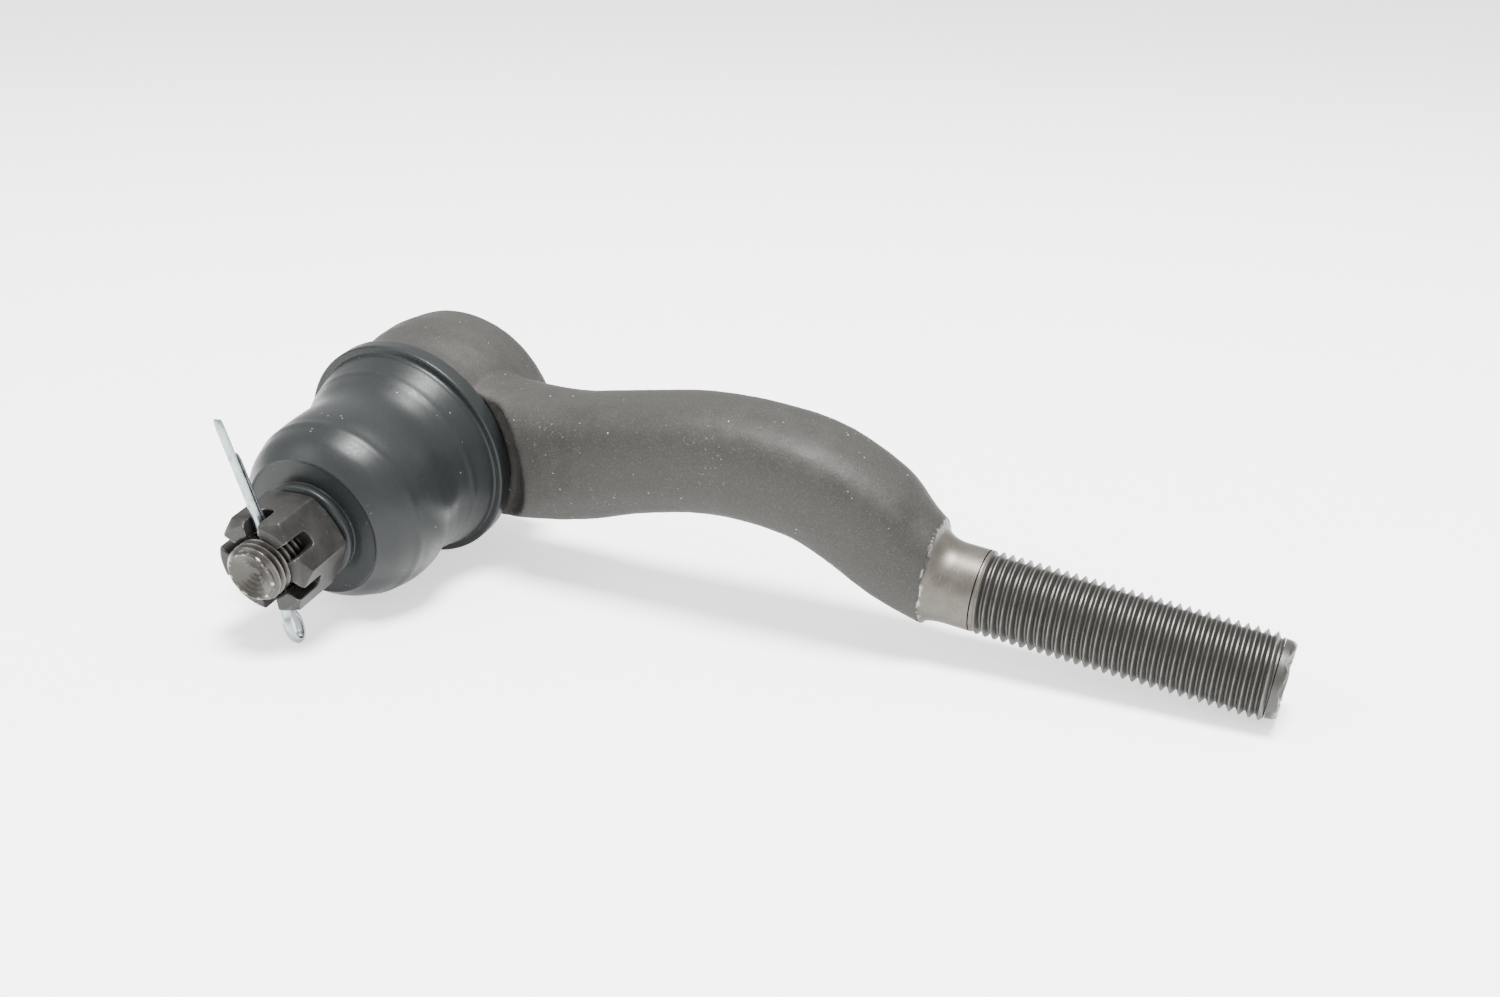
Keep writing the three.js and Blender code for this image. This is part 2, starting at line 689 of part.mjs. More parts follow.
// The half-round wire, folded into an eye: one ring of section points per path point.
function cotterPin() {
  const legY = PIN_LEG_GAP / 2;
  const legStops = [PIN_STRAIGHT, 0, -PIN_STRAIGHT];
  const path = [{ z: PIN_TIP, y: -legY }];
  legStops.forEach((z) => path.push({ z, y: -legY }));
  const eyeCentre = -(PIN_EYE_START + PIN_EYE_END) / 2;
  const eyeHalf = (PIN_EYE_END - PIN_EYE_START) / 2 - PIN_R;
  const eyeR = PIN_EYE_R - PIN_R;
  for (let k = 0; k <= PIN_EYE_STEPS; k++) {
    const share = k / PIN_EYE_STEPS;
    const angle = THREE.MathUtils.lerp(PIN_EYE_OPENING, 2 * Math.PI - PIN_EYE_OPENING, share);
    path.push({ z: eyeCentre + eyeHalf * Math.cos(angle), y: -eyeR * Math.sin(angle) });
  }
  legStops.reverse().forEach((z) => path.push({ z, y: legY }));
  path.push({ z: PIN_SHORT_TIP, y: legY });
  return ringSolid(path.map((point, i) => pinRing(path, i)))
    .rotate([0, -PIN_TURN / DEG, 0])
    .translate([0, -PIN_ALONG_STUD, 0]);
}

// Outside the nut the pin is bent a little to one side at both ends.
function pinAside(z) {
  return -Math.sign(z) * PIN_BEND * Math.max(0, Math.abs(z) - PIN_STRAIGHT);
}

function pinRing(path, i) {
  const before = path[Math.max(0, i - 1)];
  const after = path[Math.min(path.length - 1, i + 1)];
  const along = new THREE.Vector2(after.z - before.z, after.y - before.y).normalize();
  const outward = new THREE.Vector2(-along.y, along.x);
  const ring = [];
  for (let k = 0; k <= PIN_SECTION_STEPS; k++) {
    const angle = (Math.PI * k) / PIN_SECTION_STEPS;
    const side = PIN_R * Math.cos(angle);
    const out = PIN_R * Math.sin(angle);
    const z = path[i].z + outward.x * out;
    ring.push(new THREE.Vector3(side + pinAside(z), path[i].y + outward.y * out, z));
  }
  return ring;
}

// ---------------------------------------------------------------- dust boot and its rings

// Outside from the flange to the lip, then inside from the lip back to the flange.
function bootProfile() {
  const skirt = new THREE.SplineCurve(BOOT_SKIRT.map(([r, along]) => new THREE.Vector2(r, along)));
  const outside = [];
  const inside = [];
  for (let k = 0; k <= BOOT_SKIRT_STEPS; k++) {
    const point = skirt.getPoint(k / BOOT_SKIRT_STEPS);
    const tangent = skirt.getTangent(k / BOOT_SKIRT_STEPS);
    outside.push([point.x, point.y]);
    inside.push([point.x - BOOT_WALL * tangent.y, point.y + BOOT_WALL * tangent.x]);
  }
  return [
    [FLANGE_BORE_R, FLANGE_BACK],
    [FLANGE_R - FLANGE_EDGE, FLANGE_BACK],
    [FLANGE_R, FLANGE_BACK + FLANGE_EDGE],
    [FLANGE_R, FLANGE_FRONT - FLANGE_EDGE],
    [FLANGE_R - FLANGE_EDGE, FLANGE_FRONT],
    ...outside,
    [BOOT_HUB_R, BOOT_HUB_START],
    [BOOT_HUB_R, BOOT_LIP - BOOT_LIP_ROUND],
    [BOOT_LIP_R, BOOT_LIP],
    [BOOT_BORE_R, BOOT_LIP],
    [BOOT_BORE_R, NECK_GROOVE_FRONT],
    [NECK_GROOVE_R, NECK_GROOVE_FRONT],
    [NECK_GROOVE_R, NECK_GROOVE_BACK],
    [BOOT_BORE_R, NECK_GROOVE_BACK],
    [BOOT_BORE_R, BOOT_INNER_FACE],
    ...inside.reverse(),
    [FLANGE_GROOVE_R, FLANGE_GROOVE_FRONT],
    [FLANGE_GROOVE_R, FLANGE_GROOVE_BACK],
    [FLANGE_BORE_R, FLANGE_GROOVE_BACK],
  ];
}

function rubberDustBoot() {
  return turnedAboutStud(closed(bootProfile())).warp((point) => {
    const along = -point[1];
    squeezeBulge(along, point);
    leanOf(THREE.MathUtils.smoothstep(along, BOOT_BEND_START, BOOT_BEND_END), point);
  });
}

function squeezeBulge(along, point) {
  const length = BOOT_BULGE_END - BOOT_BULGE_START;
  const share = THREE.MathUtils.clamp((along - BOOT_BULGE_START) / length, 0, 1);
  const shift = BOOT_BULGE * Math.sin(Math.PI * share) ** 2;
  point[0] += shift * Math.cos(BOOT_BULGE_TURN);
  point[2] += shift * Math.sin(BOOT_BULGE_TURN);
}

// Turns a point about the ball centre by a share of the stud's lean at rest.
function leanOf(share, point) {
  const vector = new THREE.Vector3(...point);
  vector.applyEuler(new THREE.Euler(-STUD_LEAN_Z * share, 0, STUD_LEAN_X * share));
  vector.toArray(point);
}

function bootFlangeRing() {
  return turnedAboutStud(closed([
    [SOCKET_FRONT_R + GAP, FLANGE_RING_BACK],
    [FLANGE_RING_R, FLANGE_RING_BACK],
    [FLANGE_RING_R, FLANGE_RING_FRONT],
    [SOCKET_FRONT_R + GAP, FLANGE_RING_FRONT],
  ]));
}

function bootNeckRing() {
  return turnedAboutStud(closed([
    [NECK_RING_BORE_R, NECK_RING_BACK],
    [NECK_RING_R, NECK_RING_BACK],
    [NECK_RING_R, NECK_RING_FRONT],
    [NECK_RING_BORE_R, NECK_RING_FRONT],
  ]));
}

// ---------------------------------------------------------------- assembly

function piece(name, solid, surface) {
  const geometry = toCreasedNormals(toGeometry(solid), 35 * DEG);
  const mesh = new THREE.Mesh(geometry, surface);
  mesh.name = name;
  return mesh;
}

function leaningPieces() {
  const leaning = new THREE.Group();
  leaning.add(piece('boot_neck_ring', bootNeckRing(), SPRING_STEEL));
  leaning.add(piece('ball_stud', ballStud(), STUD_STEEL));
  leaning.add(piece('castle_nut', castleNut(), NUT_STEEL));
  leaning.add(piece('cotter_pin', cotterPin(), ZINC));
  leaning.rotation.set(-STUD_LEAN_Z, 0, STUD_LEAN_X);
  return leaning;
}

function assembly() {
  const pieces = new THREE.Group();
  pieces.add(piece('forged_housing_arm', forgedHousingArm(), FORGED_STEEL));
  pieces.add(piece('upper_ball_seat', upperSeat(), SEAT_PLASTIC));
  pieces.add(piece('lower_ball_seat', lowerSeat(), SEAT_PLASTIC));
  pieces.add(piece('preload_disc_spring', preloadSpring(), SPRING_STEEL));
  pieces.add(piece('socket_end_cap', socketEndCap(), CAP_STEEL));
  pieces.add(piece('rubber_dust_boot', rubberDustBoot(), RUBBER));
  pieces.add(piece('boot_flange_ring', bootFlangeRing(), CAP_STEEL));
  pieces.add(leaningPieces());
  return pieces;
}

// Lay the assembly on the floor and put the origin under the middle of its bounding box.
function layDown(pieces) {
  const up = new THREE.Vector3(-Math.sin(REST_PITCH), -Math.sin(REST_ROLL), 0);
  up.z = Math.sqrt(1 - up.lengthSq());
  const ahead = new THREE.Vector3(1, 0, 0).addScaledVector(up, -up.x).normalize();
  const side = new THREE.Vector3().crossVectors(up, ahead);
  const turn = new THREE.Matrix4().makeBasis(ahead, side, up).transpose();
  const lying = new THREE.Group();
  lying.add(pieces);
  pieces.quaternion.setFromRotationMatrix(turn);
  lying.updateMatrixWorld(true);
  const bounds = new THREE.Box3().setFromObject(lying, true);
  const middle = bounds.getCenter(new THREE.Vector3());
  pieces.position.set(-middle.x, -middle.y, -bounds.min.z);
  return lying;
}

const tieRodEnd = layDown(assembly());
tieRodEnd.name = 'tie_rod_end';
tieRodEnd.updateMatrixWorld(true);

export default tieRodEnd;
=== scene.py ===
"""Looks of the tie rod end: forging, shank, dust boot, ball stud, castle nut and cotter pin.

Shapes are made in the part's working frame, in millimetres: the origin is the ball centre,
+x runs along the shank, "along" is measured from the ball towards the nut (the -y direction)
and +z is the side the arm bows towards. The record gives where that frame lies in the row.
"""
import json
import math

import bmesh
import bpy
import numpy as np
from mathutils import Matrix, Vector, noise


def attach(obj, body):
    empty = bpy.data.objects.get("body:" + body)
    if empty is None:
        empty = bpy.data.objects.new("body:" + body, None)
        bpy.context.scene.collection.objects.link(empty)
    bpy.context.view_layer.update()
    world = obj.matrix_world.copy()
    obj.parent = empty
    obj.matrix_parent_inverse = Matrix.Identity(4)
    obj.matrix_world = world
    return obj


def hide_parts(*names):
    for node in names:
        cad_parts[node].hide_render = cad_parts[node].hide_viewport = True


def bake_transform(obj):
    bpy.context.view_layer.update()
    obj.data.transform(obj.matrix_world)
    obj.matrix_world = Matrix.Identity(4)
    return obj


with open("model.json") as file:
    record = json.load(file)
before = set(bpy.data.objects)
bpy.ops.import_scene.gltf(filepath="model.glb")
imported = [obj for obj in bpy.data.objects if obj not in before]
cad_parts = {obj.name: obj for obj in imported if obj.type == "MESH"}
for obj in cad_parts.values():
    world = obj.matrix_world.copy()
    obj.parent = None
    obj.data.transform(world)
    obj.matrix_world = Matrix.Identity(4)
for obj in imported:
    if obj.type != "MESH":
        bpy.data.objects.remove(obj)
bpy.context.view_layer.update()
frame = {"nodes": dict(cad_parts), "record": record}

MM = 0.001
DEG = math.pi / 180

# ---------------------------------------------------------------- working frames

record = frame["record"]
joints = {joint["name"]: joint for joint in record["behaviour"]["joints"]}
mounts = {mount["name"]: mount for mount in record["mounts"]}
BALL = Vector(joints["stud_tilt"]["pos_m"])
SOCKET_AXIS = Vector(joints["stud_swing_direction"]["axis"]).normalized()
SHANK_AXIS = Vector(mounts["shank_end"]["axis"]).normalized()
BOW_AXIS = SHANK_AXIS.cross(-SOCKET_AXIS).normalized()
HOUSING = Matrix((SHANK_AXIS, -SOCKET_AXIS, BOW_AXIS)).transposed().to_4x4()
HOUSING.translation = BALL
STUD_LEAN_X = 2.9 * DEG
STUD_LEAN_Z = 0.8 * DEG


def lean(share):
    """The stud's lean at rest, or a share of it, as a matrix about the ball centre."""
    about_x = Matrix.Rotation(-STUD_LEAN_Z * share, 4, "X")
    about_z = Matrix.Rotation(STUD_LEAN_X * share, 4, "Z")
    return about_x @ about_z


STUD = HOUSING @ lean(1)

# ---------------------------------------------------------------- mesh helpers

MERGE_DISTANCE = 0.002
SLIVER_LENGTH = 1e-4
WELD_DISTANCE = 1e-3
ON_AXIS_R = 1e-5


def new_object(name, points, faces, sharp=38):
    """A closed mesh object in millimetres in the working frame; settle() puts it in the row."""
    mesh = bpy.data.meshes.new(name)
    mesh.from_pydata([tuple(map(float, p)) for p in points], [],
                     [tuple(map(int, f)) for f in faces])
    body = bmesh.new()
    body.from_mesh(mesh)
    bmesh.ops.remove_doubles(body, verts=body.verts, dist=MERGE_DISTANCE)
    bmesh.ops.dissolve_degenerate(body, edges=body.edges, dist=SLIVER_LENGTH)
    bmesh.ops.recalc_face_normals(body, faces=body.faces)
    body.to_mesh(mesh)
    body.free()
    obj = bpy.data.objects.new(name, mesh)
    bpy.context.scene.collection.objects.link(obj)
    smooth(obj, sharp)
    return obj


def settle(obj, place):
    """From millimetres in the working frame to metres in the row frame."""
    obj.data.transform(place @ Matrix.Scale(MM, 4))


def smooth(obj, sharp):
    """Smooth shading; edges that turn by more than sharp degrees stay sharp."""
    obj.data.shade_smooth()
    if sharp:
        obj.data.set_sharp_from_angle(angle=sharp * DEG)


def grid_faces(rows, columns):
    """Quads between rows of points, each row closed on itself."""
    faces = []
    for i in range(rows - 1):
        for j in range(columns):
            k = (j + 1) % columns
            faces.append((i * columns + j, i * columns + k,
                          (i + 1) * columns + k, (i + 1) * columns + j))
    return faces


def loft(rings, start=True, end=True):
    """Points and faces of a skin over rings; both ends are filled if asked."""
    rows, columns = len(rings), len(rings[0])
    points = [tuple(p) for ring in rings for p in ring]
    faces = grid_faces(rows, columns)
    if start:
        points.append(tuple(np.mean(rings[0], axis=0)))
        faces += [(len(points) - 1, (j + 1) % columns, j) for j in range(columns)]
    if end:
        points.append(tuple(np.mean(rings[-1], axis=0)))
        last = (rows - 1) * columns
        faces += [(len(points) - 1, last + j, last + (j + 1) % columns)
                  for j in range(columns)]
    return points, faces


def stud_ring(r, along, columns):
    """A circle of points square to the stud axis."""
    angle = np.arange(columns) * 2 * math.pi / columns
    return np.c_[r * np.cos(angle), np.full(columns, -along), r * np.sin(angle)]


def turned(profile, columns=192, closed=False):
    """Points and faces of a solid turned about the stud axis; rows are [radius, along]."""
    rows = [stud_ring(max(r, ON_AXIS_R), along, columns) for r, along in profile]
    if closed:
        rows.append(rows[0])
    return loft(rows, start=not closed, end=not closed)


def rounded(profile, radius, steps=4, closed=False):
    """The profile with each corner replaced by an arc of about that radius."""
    points = [np.array(p, float) for p in profile]
    result = []
    count = len(points)
    for i, point in enumerate(points):
        if not closed and i in (0, count - 1):
            result.append(point)
            continue
        before, after = points[i - 1], points[(i + 1) % count]
        to_before, to_after = before - point, after - point
        a, b = np.linalg.norm(to_before), np.linalg.norm(to_after)
        cut = min(radius, 0.45 * a, 0.45 * b)
        p0 = point + to_before * cut / a
        p2 = point + to_after * cut / b
        for k in range(steps + 1):
            t = k / steps
            result.append((1 - t) ** 2 * p0 + 2 * t * (1 - t) * point + t * t * p2)
    return result


def refined(profile, step):
    """Extra points on every piece of the profile that is longer than step."""
    result = [np.array(profile[0], float)]
    for a, b in zip(profile, profile[1:]):
        a, b = np.array(a, float), np.array(b, float)
        pieces = max(1, int(np.linalg.norm(b - a) / step))
        result += [a + (b - a) * (k + 1) / pieces for k in range(pieces)]
    return result


def apply_modifier(obj, kind, **settings):
    """Replaces the object's mesh with what one modifier makes of it."""
    modifier = obj.modifiers.new(kind, kind)
    for key, value in settings.items():
        setattr(modifier, key, value)
    bpy.context.view_layer.update()
    graph = bpy.context.evaluated_depsgraph_get()
    mesh = bpy.data.meshes.new_from_object(obj.evaluated_get(graph))
    obj.modifiers.clear()
    old = obj.data
    obj.data = mesh
    bpy.data.meshes.remove(old)


def combine(obj, tool, operation):
    """A boolean with a tool object, which is used up."""
    apply_modifier(obj, "BOOLEAN", object=tool, operation=operation, solver="EXACT")
    bpy.data.objects.remove(tool)


def refine_solid(obj, voxel, passes):
    """Fine even quads with softly rounded edges; voxel is in millimetres."""
    body = bmesh.new()
    body.from_mesh(obj.data)
    bmesh.ops.triangulate(body, faces=body.faces)
    bmesh.ops.remove_doubles(body, verts=body.verts, dist=WELD_DISTANCE)
    bmesh.ops.recalc_face_normals(body, faces=body.faces)
    body.to_mesh(obj.data)
    body.free()
    apply_modifier(obj, "REMESH", mode="VOXEL", voxel_size=voxel, use_smooth_shade=True)
    apply_modifier(obj, "SMOOTH", factor=0.5, iterations=passes)


def smoothstep(x, low, high):
    """0 below low, 1 above high and a smooth rise between."""
    t = np.clip((np.asarray(x, float) - low) / (high - low), 0, 1)
    return t * t * (3 - 2 * t)


def working_points(obj):
    """The vertices of an object that isn't settled yet, in millimetres."""
    co = np.zeros(len(obj.data.vertices) * 3)
    obj.data.vertices.foreach_get("co", co)
    return co.reshape(-1, 3)


def swell(obj, heights):
    """Moves each vertex out along its normal by its height in millimetres."""
    normals = np.array([v.normal for v in obj.data.vertices])
    moved = working_points(obj) + normals * heights[:, None]
    obj.data.vertices.foreach_set("co", moved.ravel())
    obj.data.update()


def set_mask(obj, name, values):
    """A number for each vertex, which a material reads by its name."""
    layer = obj.data.attributes.new(name, "FLOAT", "POINT")
    layer.data.foreach_set("value", np.asarray(values, np.float32))


def waviness(points, scale, seed):
    """Smooth noise about zero at each point."""
    shift = Vector((seed * 13.1, seed * 7.7, seed * 3.3))
    return np.array([noise.noise(Vector(p) * scale + shift) for p in points])


def patches(points, coarse, share, fine, seed, low, high):
    """Irregular patches, 0 to 1, from coarse noise and a share of fine noise."""
    height = waviness(points, coarse, seed) + share * waviness(points, fine, seed + 1)
    return smoothstep(height, low, high)


# ---------------------------------------------------------------- materials

BANDS_PER_UNIT = 3.2    # of a wave texture at scale 1
BARE_STEEL = (0.30, 0.295, 0.28)


class Surface:
    """A node material that is built up step by step."""

    def __init__(self, name, metallic, specular=0.5):
        self.material = bpy.data.materials.new(name)
        self.material.use_nodes = True
        self.nodes = self.material.node_tree.nodes
        self.links = self.material.node_tree.links
        self.shader = self.nodes["Principled BSDF"]
        self.shader.inputs["Metallic"].default_value = metallic
        self.shader.inputs["Specular IOR Level"].default_value = specular
        self.place = self.nodes.new("ShaderNodeTexCoord").outputs["Object"]

    def noise(self, size, detail=3.0, roughness=0.55, stretch=None):
        """Noise whose features are about size millimetres across."""
        node = self.nodes.new("ShaderNodeTexNoise")
        node.inputs["Scale"].default_value = 1000 / size
        node.inputs["Detail"].default_value = detail
        node.inputs["Roughness"].default_value = roughness
        self.links.new(self.stretched(stretch), node.inputs["Vector"])
        return node.outputs["Fac"]

    def cells(self, size):
        """Distance to the nearest of points that are about size millimetres apart."""
        node = self.nodes.new("ShaderNodeTexVoronoi")
        node.inputs["Scale"].default_value = 1000 / size
        self.links.new(self.place, node.inputs["Vector"])
        return node.outputs["Distance"]

    def turned_to(self, direction):
        """The place turned so that its z runs along a direction."""
        node = self.nodes.new("ShaderNodeMapping")
        turn = Vector((0, 0, 1)).rotation_difference(Vector(direction)).inverted()
        node.inputs["Rotation"].default_value = turn.to_euler()
        self.links.new(self.place, node.inputs["Vector"])
        return node.outputs["Vector"]

    def stretched(self, stretch):
        """The place, or if stretch is (direction, factor) the place scaled along it."""
        if stretch is None:
            return self.place
        direction, factor = stretch
        scaled = self.nodes.new("ShaderNodeMapping")
        scaled.inputs["Scale"].default_value = (1, 1, factor)
        self.links.new(self.turned_to(direction), scaled.inputs["Vector"])
        return scaled.outputs["Vector"]

    def rings(self, direction, spacing, wobble=0.0):
        """Turned marks: bands square to a direction, spacing millimetres apart."""
        bands = self.nodes.new("ShaderNodeTexWave")
        bands.wave_type = "BANDS"
        bands.bands_direction = "Z"
        bands.inputs["Scale"].default_value = 1000 / spacing / BANDS_PER_UNIT
        bands.inputs["Distortion"].default_value = wobble
        bands.inputs["Detail"].default_value = 3
        self.links.new(self.turned_to(direction), bands.inputs["Vector"])
        return bands.outputs["Fac"]

    def mask(self, name):
        """The values that set_mask() gave the mesh."""
        node = self.nodes.new("ShaderNodeAttribute")
        node.attribute_name = name
        return node.outputs["Fac"]

    def ramp(self, source, low, high, start=0.0, end=1.0):
        """The source with low to high mapped to start to end, held outside them."""
        node = self.nodes.new("ShaderNodeMapRange")
        node.inputs["From Min"].default_value = low
        node.inputs["From Max"].default_value = high
        node.inputs["To Min"].default_value = start
        node.inputs["To Max"].default_value = end
        self.links.new(source, node.inputs["Value"])
        return node.outputs["Result"]

    def math(self, operation, a, b):
        node = self.nodes.new("ShaderNodeMath")
        node.operation = operation
        for socket, value in zip(node.inputs, (a, b)):
            if isinstance(value, (int, float)):
                socket.default_value = value
            else:
                self.links.new(value, socket)
        return node.outputs["Value"]

    def mix(self, amount, a, b):
        """Colour a where amount is 0 and colour b where it is 1."""
        node = self.nodes.new("ShaderNodeMix")
        node.data_type = "RGBA"
        sockets = [s for s in node.inputs if s.type == "RGBA"]
        for socket, value in zip(sockets, (a, b)):
            if isinstance(value, tuple):
                socket.default_value = (*value, 1)
            else:
                self.links.new(value, socket)
        self.links.new(amount, node.inputs["Factor"])
        return [s for s in node.outputs if s.type == "RGBA"][0]

    def colour(self, value):
        self.links.new(value, self.shader.inputs["Base Color"])

    def roughness(self, value):
        self.links.new(value, self.shader.inputs["Roughness"])

    def relief(self, *layers):
        """Bump layers, each (height, depth in millimetres)."""
        normal = None
        for height, depth in layers:
            bump = self.nodes.new("ShaderNodeBump")
            bump.inputs["Distance"].default_value = depth * MM
            bump.inputs["Strength"].default_value = 1
            self.links.new(height, bump.inputs["Height"])
            if normal is not None:
                self.links.new(normal, bump.inputs["Normal"])
            normal = bump.outputs["Normal"]
        self.links.new(normal, self.shader.inputs["Normal"])


def forged_steel():
    s = Surface("forged_steel", 0.3, specular=0.22)
    grain = s.noise(0.35, detail=4, roughness=0.7)
    mottle = s.noise(3.2, detail=4)
    broad = s.noise(22, detail=2)
    dark = s.mix(s.ramp(broad, 0.35, 0.65), (0.0275, 0.0268, 0.0245), (0.0315, 0.0307, 0.0280))
    body = s.mix(s.ramp(mottle, 0.40, 0.75), dark, (0.0345, 0.0335, 0.0305))
    grained = s.mix(s.ramp(grain, 0.52, 0.82), body, (0.062, 0.0605, 0.0560))
    specks = s.ramp(s.cells(0.9), 0.15, 0.06)
    sparse = s.ramp(s.noise(2.4, detail=2), 0.62, 0.68)
    speckled = s.mix(s.math("MULTIPLY", specks, sparse), grained, (0.55, 0.54, 0.52))
    scuffs = s.math("MULTIPLY", s.mask("scuff"), s.ramp(s.noise(0.55, detail=5), 0.64, 0.72))
    scuffed = s.mix(scuffs, speckled, (0.15, 0.147, 0.140))
    s.colour(s.mix(s.mask("wear"), scuffed, BARE_STEEL))
    s.roughness(s.ramp(mottle, 0.3, 0.7, 0.50, 0.62))
    s.relief((s.noise(1.6, detail=3), 0.08), (grain, 0.050))
    return s.material


def neck_steel():
    s = Surface("neck_steel", 0.7, specular=0.35)
    mottle = s.noise(2.2, detail=4)
    streaks = s.noise(1.2, detail=4, stretch=(SHANK_AXIS, 6.0))
    warm = s.mix(s.ramp(mottle, 0.4, 0.7), (0.075, 0.068, 0.058), (0.092, 0.084, 0.072))
    streaked = s.mix(s.ramp(streaks, 0.55, 0.8), warm, (0.120, 0.110, 0.096))
    # painted shade: a darker tone in the shank's thread roots
    dark = s.mix(s.mask("groove"), streaked, (0.050, 0.0490, 0.0460))
    # painted highlight: a lighter tone along the shank's thread crests
    crest = s.mix(s.mask("crest"), dark, (0.120, 0.117, 0.110))
    s.colour(s.mix(s.mask("wear"), crest, BARE_STEEL))
    s.roughness(s.ramp(mottle, 0.3, 0.75, 0.38, 0.46))
    s.relief((s.rings(SHANK_AXIS, 0.28, 1.5), 0.003), (s.noise(0.5, detail=4), 0.010))
    return s.material


def rubber():
    s = Surface("boot_rubber", 0.0, specular=0.20)
    fine = s.noise(0.5, detail=5, roughness=0.65)
    cloudy = s.noise(9, detail=3)
    base = s.mix(s.ramp(cloudy, 0.35, 0.7), (0.0095, 0.0112, 0.0114), (0.0125, 0.0144, 0.0146))
    dust = s.math("MULTIPLY", s.ramp(s.cells(1.3), 0.12, 0.04),
                  s.ramp(s.noise(4, detail=2), 0.60, 0.66))
    dusty = s.mix(dust, base, (0.20, 0.205, 0.20))
    scratch = s.ramp(s.noise(2.2, detail=2, stretch=(SOCKET_AXIS, 0.07)), 0.70, 0.76)
    marked = s.math("MULTIPLY", scratch, s.ramp(s.noise(11, detail=1), 0.5, 0.62))
    s.colour(s.mix(marked, dusty, (0.045, 0.049, 0.049)))
    s.roughness(s.ramp(fine, 0.3, 0.75, 0.32, 0.44))
    s.relief((s.noise(5, detail=2), 0.05), (fine, 0.008))
    return s.material


def nut_steel():
    s = Surface("nut_steel", 0.5, specular=0.25)
    grain = s.noise(0.5, detail=4)
    patches = s.noise(3.5, detail=3)
    base = s.mix(s.ramp(patches, 0.35, 0.7), (0.019, 0.0185, 0.0172), (0.029, 0.0283, 0.0262))
    spots = s.mix(s.ramp(grain, 0.60, 0.80), base, (0.050, 0.0487, 0.0455))
    s.colour(s.mix(s.mask("wear"), spots, (0.22, 0.215, 0.205)))
    s.roughness(s.ramp(patches, 0.3, 0.7, 0.34, 0.48))
    s.relief((s.noise(1.8, detail=3), 0.03), (grain, 0.012))
    return s.material


def stud_steel():
    s = Surface("stud_steel", 0.8, specular=0.4)
    patches = s.noise(1.6, detail=4)
    base = s.mix(s.ramp(patches, 0.35, 0.72), (0.036, 0.0335, 0.0295), (0.058, 0.054, 0.0475))
    # painted shade: the stud's thread roots get one even, dim tone
    dark = s.mix(s.mask("groove"), base, (0.045, 0.042, 0.038))
    # painted highlight: a lighter tone along the stud's thread crests
    crest = s.mix(s.mask("crest"), dark, (0.100, 0.095, 0.087))
    s.colour(s.mix(s.mask("wear"), crest, (0.30, 0.29, 0.27)))
    s.roughness(s.ramp(patches, 0.3, 0.7, 0.24, 0.40))
    s.relief((s.noise(0.8, detail=4), 0.025), (s.noise(0.25, detail=2), 0.006))
    return s.material


def zinc():
    s = Surface("zinc_plate", 0.9, specular=0.5)
    patches = s.noise(1.4, detail=3)
    tint = s.mix(s.ramp(patches, 0.35, 0.7), (0.22, 0.255, 0.265), (0.36, 0.40, 0.405))
    s.colour(s.mix(s.ramp(s.noise(2.6, detail=3), 0.60, 0.75), tint, (0.13, 0.15, 0.15)))
    s.roughness(s.ramp(patches, 0.3, 0.7, 0.22, 0.36))
    s.relief((s.noise(0.6, detail=4), 0.02), (s.noise(0.18, detail=2), 0.004))
    return s.material


def cap_steel():
    s = Surface("cap_steel", 0.8, specular=0.5)
    patches = s.noise(2.5, detail=4)
    base = s.mix(s.ramp(patches, 0.35, 0.7), (0.070, 0.068, 0.063), (0.105, 0.101, 0.094))
    s.colour(s.mix(s.ramp(s.noise(0.5, detail=3), 0.6, 0.8), base, (0.16, 0.156, 0.148)))
    s.roughness(s.ramp(patches, 0.3, 0.7, 0.36, 0.5))
    s.relief((s.noise(1.2, detail=3), 0.02), (s.noise(0.3, detail=3), 0.008))
    return s.material


def spring_steel():
    s = Surface("spring_steel", 0.85, specular=0.5)
    patches = s.noise(1.8, detail=3)
    s.colour(s.mix(s.ramp(patches, 0.3, 0.7), (0.09, 0.088, 0.083), (0.17, 0.165, 0.155)))
    s.roughness(s.ramp(patches, 0.3, 0.7, 0.28, 0.42))
    s.relief((s.noise(0.4, detail=3), 0.008))
    return s.material


def seat_plastic():
    s = Surface("seat_plastic", 0.0, specular=0.45)
    patches = s.noise(3, detail=3)
    s.colour(s.mix(s.ramp(patches, 0.3, 0.7), (0.66, 0.63, 0.55), (0.74, 0.71, 0.64)))
    s.roughness(s.ramp(patches, 0.3, 0.7, 0.38, 0.5))
    s.relief((s.noise(0.5, detail=3), 0.01))
    return s.material


FORGED_STEEL = forged_steel()
NECK_STEEL = neck_steel()
RUBBER = rubber()
NUT_STEEL = nut_steel()
STUD_STEEL = stud_steel()
ZINC = zinc()
CAP_STEEL = cap_steel()
SPRING_STEEL = spring_steel()
SEAT_PLASTIC = seat_plastic()


def dress(obj, material):
    obj.data.materials.clear()
    obj.data.materials.append(material)


# ---------------------------------------------------------------- forging

